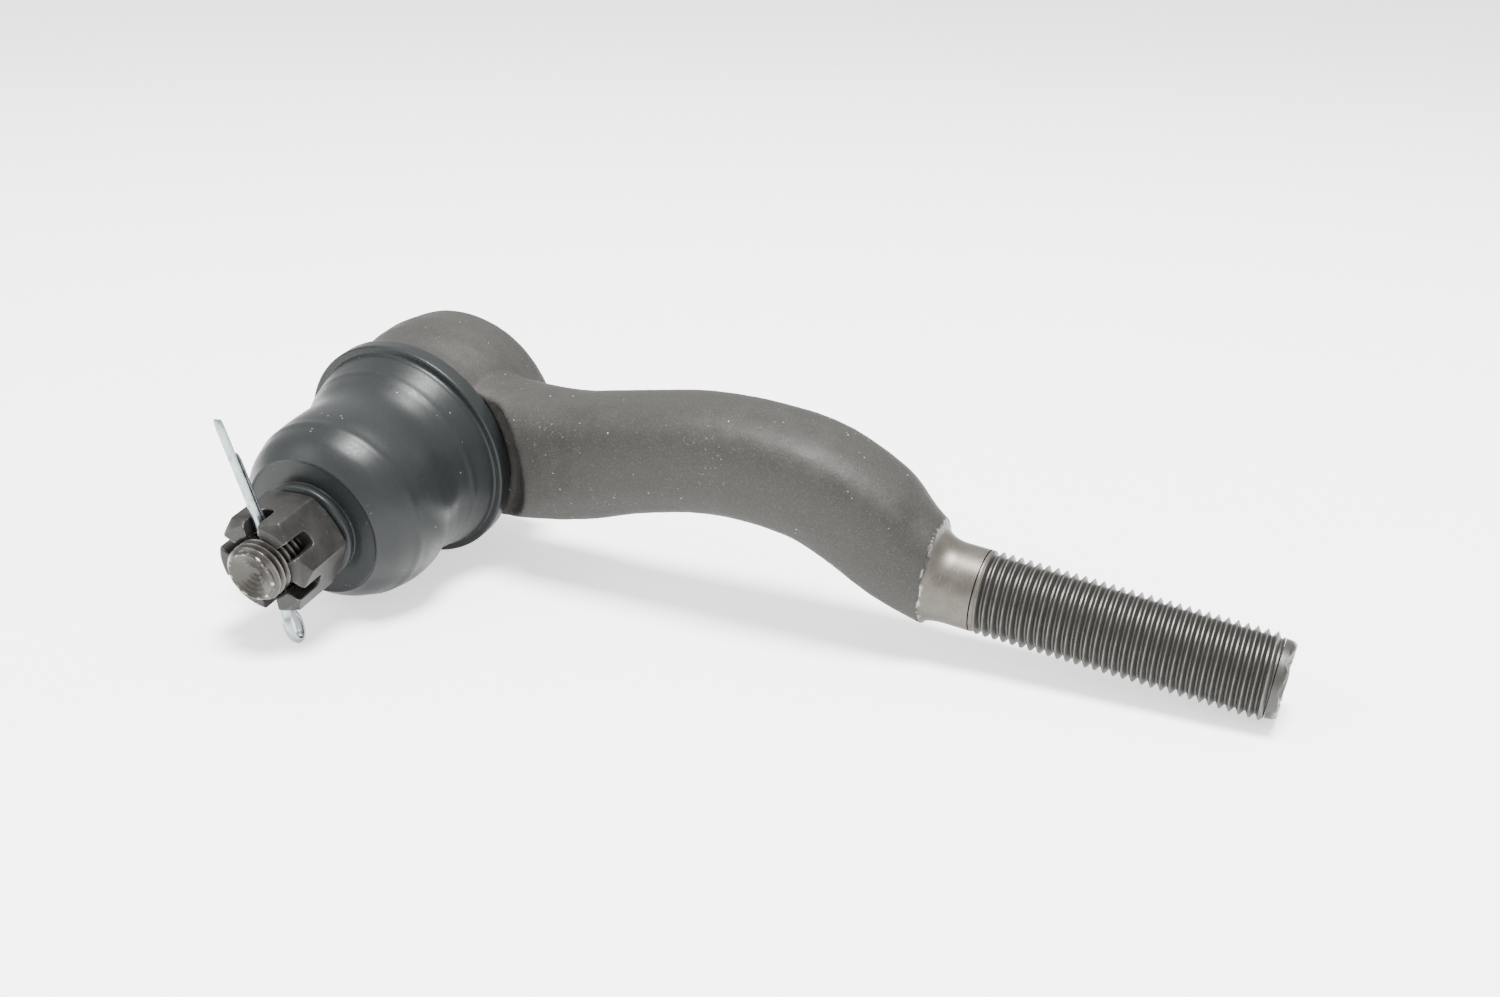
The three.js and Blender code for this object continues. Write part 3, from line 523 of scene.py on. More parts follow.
# arm stations: x, centre y, centre z, half width, half height, squareness
ARM = np.array([
    [0, 0, 1.6, 8.5, 13.6, 3],
    [9.5, 0, 1.7, 8.7, 13.2, 3],
    [19, 0, 2.1, 8.9, 12.3, 3],
    [31, -0.1, 4.3, 8.9, 11.1, 3],
    [43.5, -0.2, 8.6, 8.9, 10.1, 3],
    [56, 0.2, 12.1, 9.3, 9.6, 3],
    [67, 0.5, 13.1, 9.5, 9.3, 3],
    [78, 0.5, 12, 9.5, 9.3, 2.9],
    [86.5, 0.3, 8.4, 9.2, 9.3, 2.7],
    [92.5, 0, 4.8, 8.6, 9.1, 2.5],
    [98.5, -0.3, 2.1, 7.7, 8.9, 2.2],
])
ARM_START_X = 12.25
ARM_END_X = 98.5
ARM_UPRIGHT_LENGTH = 12.5
ARM_COLUMNS = 96
ARM_ROWS = 150
FORGING_VOXEL = 0.42
FORGING_SMOOTHING = 5
# waves of the forged skin: height, frequency per millimetre, seed
LUMPS = [(0.10, 0.09, 1), (0.05, 0.35, 2), (0.02, 1.1, 3)]
# the boot's seat on the socket is machined: along the stud from and to, and its reach
MACHINED_FROM, MACHINED_TO, MACHINED_R = 4.4, 5.2, 24
# the chipped line before the end of the arm: distances from and to
CHIP_FROM, CHIP_TO = 0.42, 0.12
# lightly scuffed places: centre and reach
SCUFFS = [(30, -8.6, 10, 9), (41, -8.8, 1, 7), (60, -8.5, 17, 8), (62, -8.5, 5, 6)]


def station(x):
    """Smooth values between the arm's stations at x."""
    xs = ARM[:, 0]
    slopes = np.gradient(ARM, xs, axis=0)
    i = int(np.clip(np.searchsorted(xs, x) - 1, 0, len(xs) - 2))
    h = xs[i + 1] - xs[i]
    t = (x - xs[i]) / h
    return ((2 * t ** 3 - 3 * t ** 2 + 1) * ARM[i] + (t ** 3 - 2 * t ** 2 + t) * h * slopes[i]
            + (3 * t ** 2 - 2 * t ** 3) * ARM[i + 1] + (t ** 3 - t ** 2) * h * slopes[i + 1])


def arm_ring(x, columns=ARM_COLUMNS):
    """A section of the arm, square to its centre line except near both ends."""
    _, centre_y, centre_z, half_width, half_height, squareness = station(x)
    upright = min(1, x / ARM_UPRIGHT_LENGTH, (ARM_END_X - x) / ARM_UPRIGHT_LENGTH)
    slope = station(min(x + 0.5, ARM_END_X))[2] - station(x - 0.5)[2]
    turn = math.atan2(slope, 1) * upright
    angle = np.arange(columns) * 2 * math.pi / columns
    power = 2 / squareness
    y = half_width * np.sign(np.cos(angle)) * np.abs(np.cos(angle)) ** power
    z = half_height * np.sign(np.sin(angle)) * np.abs(np.sin(angle)) ** power
    return np.c_[x - z * math.sin(turn), centre_y + y, centre_z + z * math.cos(turn)]


SOCKET_ROUND = 0.5
SOCKET_PROFILE = [
    [13.2, -14.6], [16.9, -14.6], [18.3, -14.0], [18.9, -12.6], [19.8, -7], [19.8, -3],
    [19.2, 2.3], [19.2, 5], [17.4, 5], [17.4, 7.9], [11.4, 7.9], [9.3, 5.9], [12.15, 5.9],
    [12.15, -12.1], [14.3, -12.1], [14.3, -14.1], [13.2, -14.1],
]
# the arm is cut back around the boot's flange
RECESS_ROUND = 1.6
RECESS_PROFILE = [[0, 5], [22.5, 5], [25.8, 9.2], [25.8, 20], [0, 20]]


def make_forging():
    rows = np.linspace(ARM_START_X, ARM_END_X, ARM_ROWS)
    arm = new_object("forging", *loft([arm_ring(x) for x in rows]))
    recess = turned(rounded(RECESS_PROFILE, RECESS_ROUND, steps=8))
    combine(arm, new_object("recess_tool", *recess), "DIFFERENCE")
    ring = turned(rounded(SOCKET_PROFILE, SOCKET_ROUND, closed=True), closed=True)
    socket = new_object("socket", *ring)
    joined = bmesh.new()
    joined.from_mesh(arm.data)
    joined.from_mesh(socket.data)
    joined.to_mesh(arm.data)
    joined.free()
    bpy.data.objects.remove(socket)
    refine_solid(arm, FORGING_VOXEL, FORGING_SMOOTHING)
    points = working_points(arm)
    lumps = sum(height * waviness(points, scale, seed) for height, scale, seed in LUMPS)
    machined = smoothstep(-points[:, 1], MACHINED_FROM, MACHINED_TO)
    machined *= np.hypot(points[:, 0], points[:, 2]) < MACHINED_R
    swell(arm, lumps * (1 - machined))
    chip = smoothstep(points[:, 0], ARM_END_X - CHIP_FROM, ARM_END_X - CHIP_TO)
    set_mask(arm, "wear", chip * patches(points, 0.9, 0.5, 3.0, 4, 0.15, 0.35))
    scuff = np.zeros(len(points))
    for x, y, z, reach in SCUFFS:
        distance = np.linalg.norm(points - np.array((x, y, z)), axis=1)
        scuff = np.maximum(scuff, 1 - smoothstep(distance, 0.3 * reach, reach))
    set_mask(arm, "scuff", scuff)
    smooth(arm, None)
    settle(arm, HOUSING)
    dress(arm, FORGED_STEEL)
    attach(arm, "housing")
    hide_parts("forged_housing_arm")


# ---------------------------------------------------------------- threads

# shares of the pitch, and the crest's rounding as a share of the depth
CREST = 0.10
ROOT_START = 0.47
ROOT_END = 0.63
THREAD_DEPTH = 0.60
CREST_ROUNDING = 0.05
THREAD_STOPS = [0, 0.02, 0.08, 0.10, 0.2, 0.37, 0.47, 0.51, 0.59, 0.63, 0.73, 0.9, 0.98]
FLANK = 1 - CREST_ROUNDING
COLUMNS = 96
COLUMN_ANGLES = np.arange(COLUMNS) * 2 * math.pi / COLUMNS


def thread_depth(share):
    """Depth below the crest at a share of the pitch, as a share of the full depth."""
    if share <= CREST:
        return CREST_ROUNDING * (2 * share / CREST - 1) ** 2
    if share < ROOT_START:
        return CREST_ROUNDING + FLANK * (share - CREST) / (ROOT_START - CREST)
    if share <= ROOT_END:
        return 1.0
    return CREST_ROUNDING + FLANK * (1 - share) / (1 - ROOT_END)


def thread_part(radius, pitch, start, end, start_r, end_r, run_out, chamfer):
    """Rows of (distance, radius) for each column, following the helix.

    The thread rises out of a shaft of radius start_r over run_out, and its last
    chamfer's length narrows to end_r.
    """
    turns = int((end - start) / pitch) + 2
    rows = []
    for turn in range(-1, turns + 1):
        for share in THREAD_STOPS:
            row = []
            for j in range(COLUMNS):
                x = start + (turn + share + j / COLUMNS) * pitch
                depth = thread_depth(share)
                at = min(max(x, start), end)
                r = radius - THREAD_DEPTH * pitch * depth
                fade = float(smoothstep(at, start, start + run_out))
                r = start_r + (r - start_r) * fade
                limit = end_r + (radius - end_r) * min(1, (end - at) / chamfer)
                row.append((at, min(r, limit)))
            rows.append(row)
    return rows


def rod_mesh(name, before, thread, after, point_at):
    """One closed mesh from plain rows, a helical thread and more plain rows."""
    points, faces = [], []

    def plain(rows):
        first = len(points)
        for row in rows:
            points.extend(row)
        faces.extend(tuple(first + k for k in face) for face in grid_faces(len(rows), COLUMNS))

    plain(before)
    base = len(points)
    for row in thread:
        for j, (at, r) in enumerate(row):
            points.append(point_at(at, r, 2 * math.pi * j / COLUMNS))
    per_turn = len(THREAD_STOPS)
    for i in range(len(thread) - 1):
        for j in range(COLUMNS):
            a, b = base + i * COLUMNS + j, base + (i + 1) * COLUMNS + j
            if j + 1 < COLUMNS:
                faces.append((a, a + 1, b + 1, b))
            elif i + 1 + per_turn < len(thread):
                c = base + (i + per_turn) * COLUMNS
                faces.append((a, c, c + COLUMNS, b))
    plain(after)
    faces.append(tuple(range(COLUMNS)))
    faces.append(tuple(range(len(points) - COLUMNS, len(points))))
    return new_object(name, points, faces)


# ---------------------------------------------------------------- shank

SHANK_Y = -0.3
SHANK_Z = 1.2
NECK_R = 6.85
NECK_FILLET = 3.9
SHANK_R = 7
SHANK_PITCH = 1.5
SHANK_THREAD_START = 106.6
SHANK_END = 155
SHANK_CHAMFER = 0.7
SHANK_THREAD_END = 153.2
SHANK_TIP_R = 6.3
SHANK_RUN_OUT = 1.3
NECK_STEP = 0.4
FLARE_ROWS = 15
FLARE_OVERLAP = 0.1
FLARE_SHARE = 0.985     # of the arm's outline where the flare meets it
STUB_LENGTH = 1.2       # the flare goes on inside the arm
STUB_SHARE = 0.95
# the rough cup in the end: radius, x
SHANK_CUP = [[SHANK_TIP_R, 153.3], [6.2, 154.4], [5.95, 154.85], [5.6, 155], [4.7, 154.95],
             [4.1, 154.5], [2.6, 153.3], [1.2, 152.6], [0.05, 152.4]]
# chips out of the cup: y, z, depth, spread
NOTCHES = [(-4.6, 1.2, 1.1, 1.6), (-2.2, 5.0, 0.8, 1.4)]
CUP_R = 4.2             # outside it the roughness only starts at FADE_FROM
FADE_FROM, FADE_LENGTH = 154.2, 0.6


def shank_point(x, r, angle):
    return (x, SHANK_Y + r * math.cos(angle), SHANK_Z + r * math.sin(angle))


def neck_rows():
    """The flare from the arm's outline down to the neck, and the neck."""
    outline = arm_ring(ARM_END_X, 720)
    angle = np.arctan2(outline[:, 2] - SHANK_Z, outline[:, 1] - SHANK_Y) % (2 * math.pi)
    reach = np.hypot(outline[:, 1] - SHANK_Y, outline[:, 2] - SHANK_Z)
    order = np.argsort(angle)
    reach = np.interp(COLUMN_ANGLES, angle[order], reach[order], period=2 * math.pi)
    rows = [[shank_point(ARM_END_X - STUB_LENGTH, STUB_SHARE * r, a)
             for r, a in zip(reach, COLUMN_ANGLES)]]
    for share in np.linspace(0, 1, FLARE_ROWS):
        spread = 1 - math.sqrt(1 - (1 - share) ** 2)
        x = ARM_END_X - FLARE_OVERLAP + (NECK_FILLET + FLARE_OVERLAP) * share
        rows.append([shank_point(x, NECK_R + (FLARE_SHARE * r - NECK_R) * spread, a)
                     for r, a in zip(reach, COLUMN_ANGLES)])
    for x in np.arange(ARM_END_X + NECK_FILLET + NECK_STEP, SHANK_THREAD_START, NECK_STEP):
        rows.append([shank_point(x, NECK_R, a) for a in COLUMN_ANGLES])
    return rows


def cup_rows():
    """The rough cup in the shank's end, with its chips."""
    rows = []
    for r, x in refined(SHANK_CUP, 0.3):
        row = []
        for a in COLUMN_ANGLES:
            p = Vector((r * math.cos(a), r * math.sin(a), 0))
            rough = 0.28 * noise.noise(p * 0.55 + Vector((4, 2, 0)))
            rough += 0.12 * noise.noise(p * 1.6)
            notch = sum(depth * math.exp(-((p.x - y) ** 2 + (p.y - z) ** 2) / spread)
                        for y, z, depth, spread in NOTCHES)
            fade = min(1.0, max(0.0, (x - FADE_FROM) / FADE_LENGTH))
            if r <= CUP_R:
                fade = 1.0
            row.append(shank_point(min(x + (rough - notch) * fade, SHANK_END + 0.1), r, a))
        rows.append(row)
    return rows


def make_shank():
    thread = thread_part(SHANK_R, SHANK_PITCH, SHANK_THREAD_START, SHANK_THREAD_END, NECK_R,
                         SHANK_TIP_R, SHANK_RUN_OUT, SHANK_CHAMFER)
    obj = rod_mesh("shank", neck_rows(), thread, cup_rows(), shank_point)
    points = working_points(obj)
    r = np.hypot(points[:, 1] - SHANK_Y, points[:, 2] - SHANK_Z)
    threaded = (points[:, 0] > SHANK_THREAD_START + 0.5) & (points[:, 0] < SHANK_END + 0.1)
    # painted shade: the groove mask marks the thread roots to be darkened
    set_mask(obj, "groove", threaded * smoothstep(SHANK_R - r, 0.04, 0.25))
    # painted highlight: the crest mask below lightens the thread crests, in patches
    crest_highlight_patches = smoothstep(waviness(points, 0.6, 6), -0.25, 0.3)
    set_mask(obj, "crest", threaded * smoothstep(r, SHANK_R - 0.07, SHANK_R - 0.02) * crest_highlight_patches)
    edge = smoothstep(ARM_END_X + 0.25 - points[:, 0], 0, 0.25)
    set_mask(obj, "wear", edge * patches(points, 0.8, 0.6, 2.4, 7, 0.2, 0.4))
    settle(obj, HOUSING)
    dress(obj, NECK_STEEL)
    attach(obj, "housing")
    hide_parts("forged_housing_arm")


# ---------------------------------------------------------------- ball stud

STUD_R = 5
STUD_PITCH = 1.25
STUD_THREAD_START = 38.4
STUD_END = 53.3
STUD_RUN_OUT = 1.4
STUD_CHAMFER = 0.85
STUD_CORE_R = 4.15
BALL_R = 10
BALL_LOW, BALL_HIGH = math.asin(-0.97), math.acos(0.51)
# from the ball to the thread: radius, along
STUD_PROFILE = [[5.1, 10.3], [5.1, 11.0], [5.6, 14], [6.3, 18.7], [6.3, 21], [5.15, 36.5],
                [STUD_CORE_R, 37.3], [STUD_CORE_R, 38.3]]
# the end with its centre dimple: radius, along
STUD_DIMPLE = [[STUD_CORE_R, 53.3], [4.0, 53.36], [3.86, 53.3], [0.6, 51.55], [0.05, 51.4]]
# the pin's hole through the stud, and the pin in it
PIN_TURN = 11 * DEG
PIN_ALONG = 47.9
PIN_HOLE_R = 1.25
PIN_HOLE_COLUMNS = 48


def stud_point(along, r, angle):
    return (r * math.cos(angle), -along, r * math.sin(angle))


def dimple_rows():
    """The stud's end: turning marks in the dimple and a slight unevenness."""
    rows = []
    for r, along in refined(STUD_DIMPLE, 0.14):
        mark = 0.010 * math.sin(r * 9) if 0.6 < r < 3.7 else 0
        row = []
        for a in COLUMN_ANGLES:
            wobble = 0.03 * noise.noise(Vector((r * math.cos(a), r * math.sin(a), 5)) * 1.3)
            row.append(stud_point(along + mark + wobble, r, a))
        rows.append(row)
    return rows


def make_stud():
    ball = [[BALL_R * math.cos(a), BALL_R * math.sin(a)]
            for a in np.linspace(BALL_LOW, BALL_HIGH, 40)]
    profile = [[0.05, -9.7]] + ball + rounded(STUD_PROFILE, 0.4)[1:]
    before = [[stud_point(along, r, a) for a in COLUMN_ANGLES]
              for r, along in refined(profile, 0.8)]
    thread = thread_part(STUD_R, STUD_PITCH, STUD_THREAD_START, STUD_END, STUD_CORE_R,
                         STUD_CORE_R, STUD_RUN_OUT, STUD_CHAMFER)
    obj = rod_mesh("ball_stud_turned", before, thread, dimple_rows(), stud_point)
    hole = [(PIN_HOLE_R * math.cos(a), PIN_HOLE_R * math.sin(a))
            for a in np.arange(PIN_HOLE_COLUMNS) * 2 * math.pi / PIN_HOLE_COLUMNS]
    turn = Matrix.Rotation(-PIN_TURN, 3, "Y")
    rings = [[turn @ Vector((x, y - PIN_ALONG, z)) for x, y in hole] for z in (-10, 10)]
    combine(obj, new_object("pin_hole_tool", *loft(rings)), "DIFFERENCE")
    smooth(obj, 38)
    points = working_points(obj)
    r = np.hypot(points[:, 0], points[:, 2])
    along = -points[:, 1]
    threaded = (along > STUD_THREAD_START + 0.4) & (along < STUD_END - 0.1)
    # painted shade: the groove mask marks the thread roots
    set_mask(obj, "groove", threaded * smoothstep(STUD_R - r, 0.2, 0.7))
    # painted highlight: the crest mask marks the thread crests to be lightened
    set_mask(obj, "crest", threaded * smoothstep(r, STUD_R - 0.10, STUD_R - 0.03))
    rim = smoothstep(along, STUD_END - 0.5, STUD_END) * smoothstep(r, 3.7, 4.0)
    set_mask(obj, "wear", rim * smoothstep(waviness(points, 1.4, 9), 0.1, 0.35))
    settle(obj, STUD)
    dress(obj, STUD_STEEL)
    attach(obj, "stud")
    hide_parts("ball_stud")


# ---------------------------------------------------------------- castle nut

NUT_FLATS = 16
NUT_BASE = 39.4
NUT_HEIGHT = 11.2
NUT_TURN = 8.5 * DEG
SLOT_WIDTH = 2.8
SLOT_DEPTH = 5.1
SLOT_ROUND = 1.15
SLOT_HALF_LENGTH = 14
NUT_CORNER_R = NUT_FLATS / 2 / math.cos(30 * DEG)
NUT_TOP = NUT_BASE + NUT_HEIGHT
NUT_FACE_R = 7.7        # inside its chamfers
NUT_BORE_R = 5.25
# what the hexagon is cut to, and what is cut out of it: radius, along
NUT_BLANK = [[0, NUT_BASE], [NUT_FACE_R, NUT_BASE], [NUT_CORNER_R + 0.1, NUT_BASE + 0.9],
             [NUT_CORNER_R + 0.1, NUT_TOP - 1.5], [NUT_FACE_R, NUT_TOP], [0, NUT_TOP]]
NUT_BORE = [[0, NUT_BASE - 1], [6.2, NUT_BASE - 1], [NUT_BORE_R, NUT_BASE + 0.6],
            [NUT_BORE_R, NUT_TOP - 0.6], [6.3, NUT_TOP + 0.8], [0, NUT_TOP + 0.8]]
NUT_VOXEL = 0.16
NUT_SMOOTHING = 4
NUT_EDGE = 0.10         # how sharp an edge must be to wear


def slot_tool(turn):
    """A straight slot whose bottom corners are rounded, cut across the whole nut."""
    top = NUT_TOP + 1
    floor = NUT_TOP - SLOT_DEPTH
    half = SLOT_WIDTH / 2
    outline = rounded([[half, top], [half, floor], [-half, floor], [-half, top]], SLOT_ROUND,
                      steps=8)
    turning = Matrix.Rotation(turn, 3, "Y")
    rings = [[turning @ Vector((x, -along, z)) for x, along in outline]
             for z in (-SLOT_HALF_LENGTH, SLOT_HALF_LENGTH)]
    return new_object("slot_tool", *loft(rings))


def make_nut():
    angles = [k * 60 * DEG + 30 * DEG for k in range(6)]
    rings = [[(NUT_CORNER_R * math.sin(a), -along, NUT_CORNER_R * math.cos(a)) for a in angles]
             for along in (NUT_BASE, NUT_TOP)]
    nut = new_object("castle_nut_forged", *loft(rings))
    combine(nut, new_object("blank_tool", *turned(NUT_BLANK, 256)), "INTERSECT")
    combine(nut, new_object("bore_tool", *turned(NUT_BORE, 128)), "DIFFERENCE")
    for k in range(3):
        combine(nut, slot_tool(k * 60 * DEG), "DIFFERENCE")
    refine_solid(nut, NUT_VOXEL, NUT_SMOOTHING)
    edge_wear(nut, NUT_EDGE)
    smooth(nut, None)
    settle(nut, STUD @ Matrix.Rotation(-NUT_TURN, 4, "Y"))
    dress(nut, NUT_STEEL)
    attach(nut, "stud")
    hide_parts("castle_nut")


def edge_wear(obj, strength):
    """A mask that is high where the surface turns sharply outwards."""
    mesh = bmesh.new()
    mesh.from_mesh(obj.data)
    mesh.normal_update()
    bend = np.zeros(len(mesh.verts))
    for v in mesh.verts:
        if v.link_edges:
            towards = [(e.other_vert(v).co - v.co).normalized().dot(v.normal)
                       for e in v.link_edges]
            bend[v.index] = -sum(towards) / len(towards)
    mesh.free()
    broken = patches(working_points(obj), 0.9, 0.4, 3, 11, -0.2, 0.35)
    set_mask(obj, "wear", smoothstep(bend, strength, 2.5 * strength) * broken)


# ---------------------------------------------------------------- cotter pin

PIN_R = 0.85
PIN_BEND = 0.12         # how far a leg turns aside for each millimetre past PIN_STRAIGHT
PIN_STRAIGHT = 7
PIN_LEG = 0.15          # each leg's flat side, from the middle plane
PIN_LONG_END = 24.9
PIN_SHORT_END = 18.7
PIN_FOLD = -7.0         # where the legs part into the eye
PIN_EYE_CENTRE = -12.4
PIN_EYE_HALF_LENGTH = 2.25
PIN_EYE_R = 1.1
PIN_EYE_OPENING = 20 * DEG
PIN_SMOOTHING = 3
PIN_TIPS = (0.80, 0.93, 0.98)   # size of the sections nearest to each end


def pin_path():
    """The folded wire: z across the stud, y towards the side; one leg, the eye, one leg."""
    path = [(z, -PIN_LEG) for z in np.linspace(PIN_LONG_END, PIN_FOLD, 60)]
    for a in np.linspace(PIN_EYE_OPENING, 2 * math.pi - PIN_EYE_OPENING, 48):
        path.append((PIN_EYE_CENTRE + PIN_EYE_HALF_LENGTH * math.cos(a),
                     -PIN_EYE_R * math.sin(a)))
    path += [(z, PIN_LEG) for z in np.linspace(PIN_FOLD, PIN_SHORT_END, 50)]
    return np.array(path)


def make_pin():
    path = pin_path()
    for _ in range(PIN_SMOOTHING):
        path[1:-1] = (path[:-2] + 2 * path[1:-1] + path[2:]) / 4
    tangent = np.gradient(path, axis=0)
    tangent /= np.linalg.norm(tangent, axis=1)[:, None]
    out = np.c_[-tangent[:, 1], tangent[:, 0]]
    half = [(PIN_R * math.cos(a), PIN_R * math.sin(a)) for a in np.linspace(0, math.pi, 17)]
    section = rounded(half, 0.14, steps=2, closed=True)
    rings = []
    count = len(path)
    for i in range(count):
        ends = min(i, count - 1 - i)
        size = PIN_TIPS[ends] if ends < len(PIN_TIPS) else 1
        ring = []
        for side, height in section:
            z = path[i, 0] + out[i, 0] * height * size
            y = path[i, 1] + out[i, 1] * height * size
            aside = -math.copysign(1, z) * PIN_BEND * max(0, abs(z) - PIN_STRAIGHT)
            ring.append((side * size + aside, y, z))
        rings.append(np.array(ring))
    obj = new_object("cotter_pin_wire", *loft(rings), sharp=50)
    lowered = Matrix.Translation((0, -PIN_ALONG * MM, 0))
    settle(obj, STUD @ lowered @ Matrix.Rotation(-PIN_TURN, 4, "Y"))
    dress(obj, ZINC)
    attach(obj, "stud")
    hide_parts("cotter_pin")


# ---------------------------------------------------------------- dust boot

BOOT_WALL = 1.5
# the outside of the skirt, from the flange to the face: radius, along
BOOT_SKIRT = [[18.9, 9.3], [17.3, 14.8], [16.6, 18.7], [17, 24.1], [16.7, 28.8],
              [15.2, 33.5], [12.8, 36.6]]
# from the flange out and back in, around the rings: radius, along
BOOT_FLANGE = [[17.8, 5.3], [20.5, 5.3], [20.5, 8.4], [19.15, 8.4], [18.95, 8.9]]
BOOT_GROOVE = [[18.8, 7.8], [18.8, 6.1], [17.8, 6.1]]
BOOT_FACE = [[12.7, 36.72], [12.55, 36.86], [12.3, 36.86], [12.15, 36.76], [9.6, 36.98],
             [8.3, 36.9], [8.3, 37.5], [8.6, 37.9], [8.6, 38.7], [7.6, 39.1], [5.5, 39.1],
             [5.5, 38.3], [7, 38.3], [7, 36.7], [5.5, 36.7], [5.5, 35.2]]
# faint ridges around the skirt: along, height, width
BOOT_RIDGES = [(30.4, 0.16, 0.8), (13.2, 0.10, 0.5)]
BOOT_BEND = (9.3, 32.7)
# the waist and bulge stand off to one side, most in the middle
BOOT_BULGE = 1.0
BOOT_BULGE_TURN = -30 * DEG
BOOT_BULGE_FROM = 10.9
BOOT_BULGE_TO = 36.6
BOOT_COLUMNS = 256


def spline(points, steps):
    """Points and tangents on a uniform Catmull-Rom curve."""
    points = np.array(points, float)
    last = len(points) - 1
    places, tangents = [], []
    for k in range(steps + 1):
        u = k / steps * last
        i = min(int(u), last - 1)
        t = u - i
        p0, p1, p2, p3 = (points[max(i - 1, 0)], points[i], points[i + 1],
                          points[min(i + 2, last)])
        v0, v1 = (p2 - p0) / 2, (p3 - p1) / 2
        a = 2 * p1 - 2 * p2 + v0 + v1
        b = -3 * p1 + 3 * p2 - 2 * v0 - v1
        places.append(a * t ** 3 + b * t ** 2 + v0 * t + p1)
        slope = 3 * a * t ** 2 + 2 * b * t + v0
        tangents.append(slope / np.linalg.norm(slope))
    return np.array(places), np.array(tangents)


def boot_profile():
    """The closed outline of the boot's wall, with the grooves for its two rings."""
    places, tangents = spline(BOOT_SKIRT, 90)
    ridge = sum(height * np.exp(-((places[:, 1] - at) / width) ** 2)
                for at, height, width in BOOT_RIDGES)
    outside = places + ridge[:, None] * np.c_[tangents[:, 1], -tangents[:, 0]]
    inside = places + BOOT_WALL * np.c_[-tangents[:, 1], tangents[:, 0]]
    flange = rounded([*BOOT_FLANGE, outside[0]], 0.45)
    face = rounded([outside[-1], *BOOT_FACE, inside[-1]], 0.3)
    groove = rounded([inside[0], *BOOT_GROOVE], 0.2)
    profile = (list(flange[:-1]) + list(outside) + list(face[1:-1]) + list(inside[::-1])
               + list(groove[1:]))
    return refined(profile, 0.6)


def warp_boot(points):
    """The bulge squeezed to one side, and the lean that grows towards the stud's end."""
    points = np.array(points, float)
    along = -points[:, 1]
    share = np.clip((along - BOOT_BULGE_FROM) / (BOOT_BULGE_TO - BOOT_BULGE_FROM), 0, 1)
    shift = BOOT_BULGE * np.sin(math.pi * share) ** 2
    points[:, 0] += shift * math.cos(BOOT_BULGE_TURN)
    points[:, 2] += shift * math.sin(BOOT_BULGE_TURN)
    leaning = smoothstep(along, *BOOT_BEND)
    return np.array([lean(float(share)) @ Vector(p) for p, share in zip(points, leaning)])


def make_boot():
    points, faces = turned(boot_profile(), BOOT_COLUMNS, closed=True)
    obj = new_object("rubber_boot", warp_boot(points), faces, sharp=None)
    settle(obj, HOUSING)
    dress(obj, RUBBER)
    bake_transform(obj)
    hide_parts("rubber_dust_boot")


# ---------------------------------------------------------------- end cap

CAP_PROFILE = [[0, -12.4], [14, -12.4], [14, -13.8], [7.4, -13.8], [6.8, -14.4], [0, -14.4]]


def make_cap():
    obj = new_object("end_cap_pressed",
                     *turned(refined(rounded(CAP_PROFILE, 0.3), 0.8), 160))
    settle(obj, HOUSING)
    dress(obj, CAP_STEEL)
    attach(obj, "housing")
    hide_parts("socket_end_cap")


# ---------------------------------------------------------------- floor, light and camera

# the camera in the working frame, and its place from the ball in its own axes
CAMERA_RIGHT = Vector((0.903, 0.427, 0.048))
CAMERA_AHEAD = Vector((-0.339, 0.777, -0.531))
CAMERA_OFFSET = Vector((58.72, 12.37, -295.4))
LENS = 38.4
SENSOR = 36
# light directions in the camera's axes; sizes and distances in metres, power in watts
KEY_TRAVEL = Vector((-0.12, 0.881, 0.457))
KEY_DISTANCE, KEY_SIZE, KEY_POWER = 0.9, 0.34, 34
FILL_TRAVEL = Vector((0.75, 0.45, 0.5))
FILL_DISTANCE, FILL_SIZE, FILL_POWER = 1.0, 0.5, 5
LIT_POINT = Vector((0, 0, 0.02))
WORLD_STRENGTH = 1.35
FLOOR_GLOW = 1.2
FLOOR_HALF_SIZE = 25


def camera_axes():
    """Right, down and ahead as the columns of a matrix in the row frame."""
    turn = HOUSING.to_3x3()
    ahead = (turn @ CAMERA_AHEAD).normalized()
    right = turn @ CAMERA_RIGHT
    right = (right - ahead * right.dot(ahead)).normalized()
    return Matrix((right, ahead.cross(right), ahead)).transposed()


def make_camera():
    axes = camera_axes()
    data = bpy.data.cameras.new("camera")
    data.lens = LENS
    data.sensor_width = SENSOR
    data.clip_start = 0.01
    camera = bpy.data.objects.new("camera", data)
    looking = (axes @ Matrix.Diagonal((1, -1, -1))).to_4x4()
    camera.matrix_world = Matrix.Translation(BALL + axes @ CAMERA_OFFSET * MM) @ looking
    bpy.context.scene.collection.objects.link(camera)
    bpy.context.scene.camera = camera


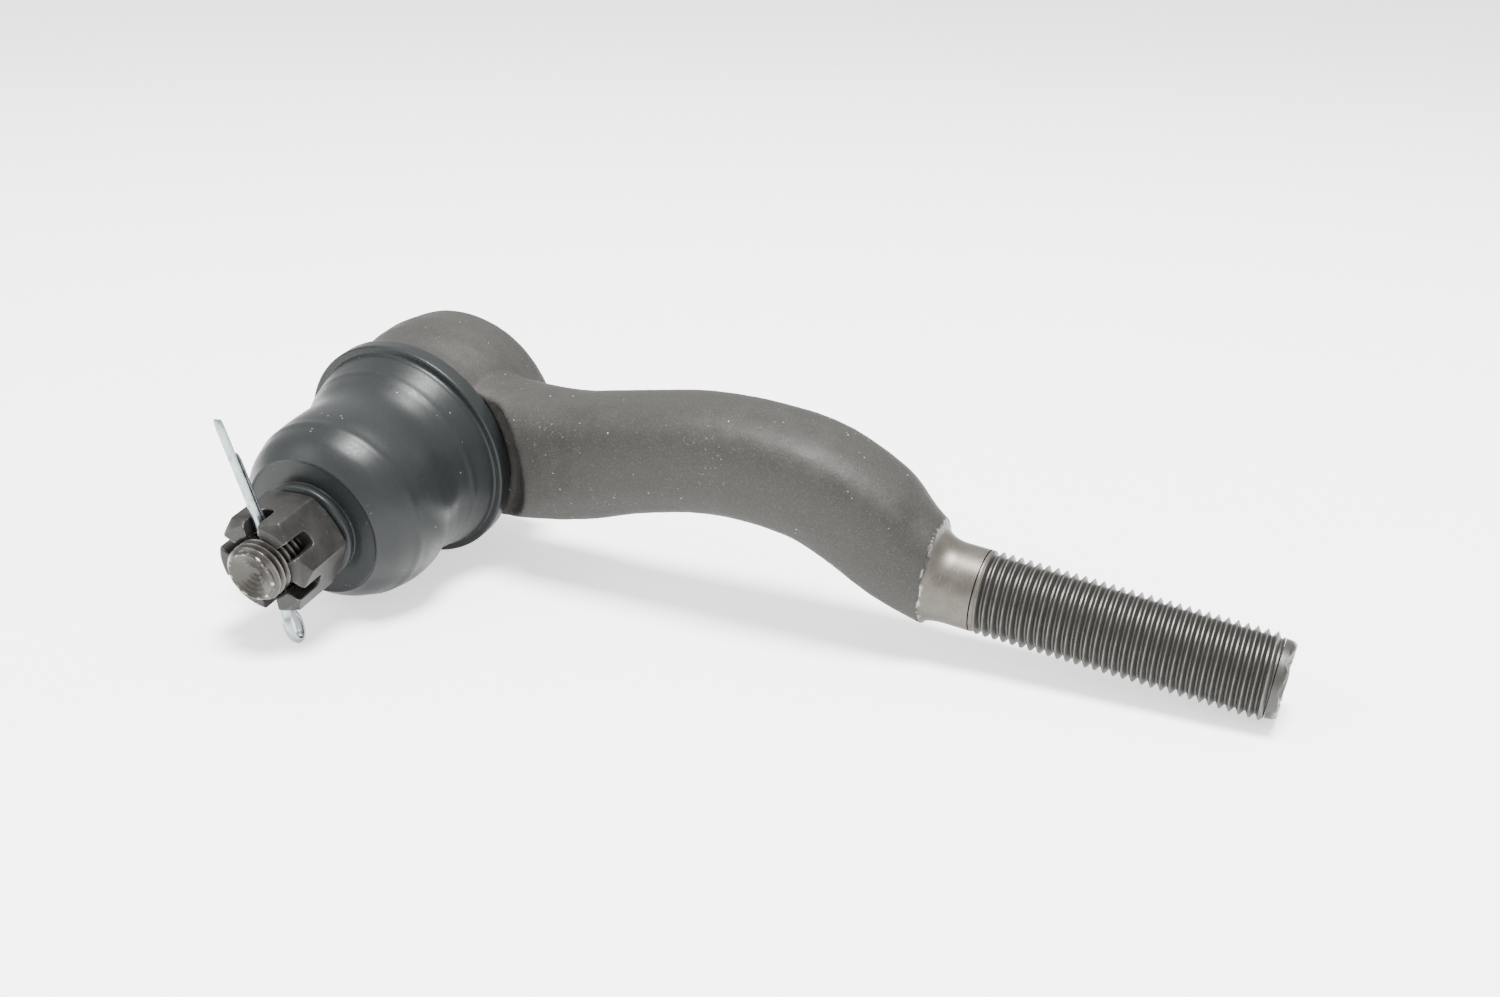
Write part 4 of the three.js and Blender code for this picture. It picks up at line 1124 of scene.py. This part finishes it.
def area_light(name, travel, distance, size, power):
    """A disk light on LIT_POINT; travel is the light's direction."""
    data = bpy.data.lights.new(name, "AREA")
    data.shape = "DISK"
    data.size = size
    data.energy = power
    light = bpy.data.objects.new(name, data)
    travel = travel.normalized()
    light.location = LIT_POINT - travel * distance
    light.rotation_euler = travel.to_track_quat("-Z", "Y").to_euler()
    bpy.context.scene.collection.objects.link(light)


def make_studio():
    axes = camera_axes()
    area_light("key", axes @ KEY_TRAVEL, KEY_DISTANCE, KEY_SIZE, KEY_POWER)
    area_light("fill", axes @ FILL_TRAVEL, FILL_DISTANCE, FILL_SIZE, FILL_POWER)
    world = bpy.data.worlds.new("studio")
    world.use_nodes = True
    background = world.node_tree.nodes["Background"]
    background.inputs["Color"].default_value = (1, 1, 1, 1)
    background.inputs["Strength"].default_value = WORLD_STRENGTH
    bpy.context.scene.world = world


def make_floor():
    mesh = bpy.data.meshes.new("floor")
    body = bmesh.new()
    bmesh.ops.create_grid(body, x_segments=8, y_segments=8, size=FLOOR_HALF_SIZE)
    body.to_mesh(mesh)
    body.free()
    floor = bpy.data.objects.new("floor", mesh)
    bpy.context.scene.collection.objects.link(floor)
    s = Surface("floor_white", 0.0, specular=0.2)
    s.colour(s.mix(s.noise(60, detail=1), (0.86, 0.86, 0.86), (0.88, 0.88, 0.88)))
    s.shader.inputs["Roughness"].default_value = 0.9
    s.shader.inputs["Emission Color"].default_value = (1, 1, 1, 1)
    s.shader.inputs["Emission Strength"].default_value = FLOOR_GLOW
    mesh.materials.append(s.material)


make_forging()
make_shank()
make_boot()
make_stud()
make_nut()
make_pin()
make_cap()
for node, material, slot in [
        ("upper_ball_seat", SEAT_PLASTIC, "seat_plastic"),
        ("lower_ball_seat", SEAT_PLASTIC, "seat_plastic"),
        ("preload_disc_spring", SPRING_STEEL, "spring_steel"),
        ("boot_flange_ring", CAP_STEEL, "cap_steel"),
        ("boot_neck_ring", SPRING_STEEL, "spring_steel")]:
    dress(frame["nodes"][node], material)
make_floor()
make_studio()
make_camera()
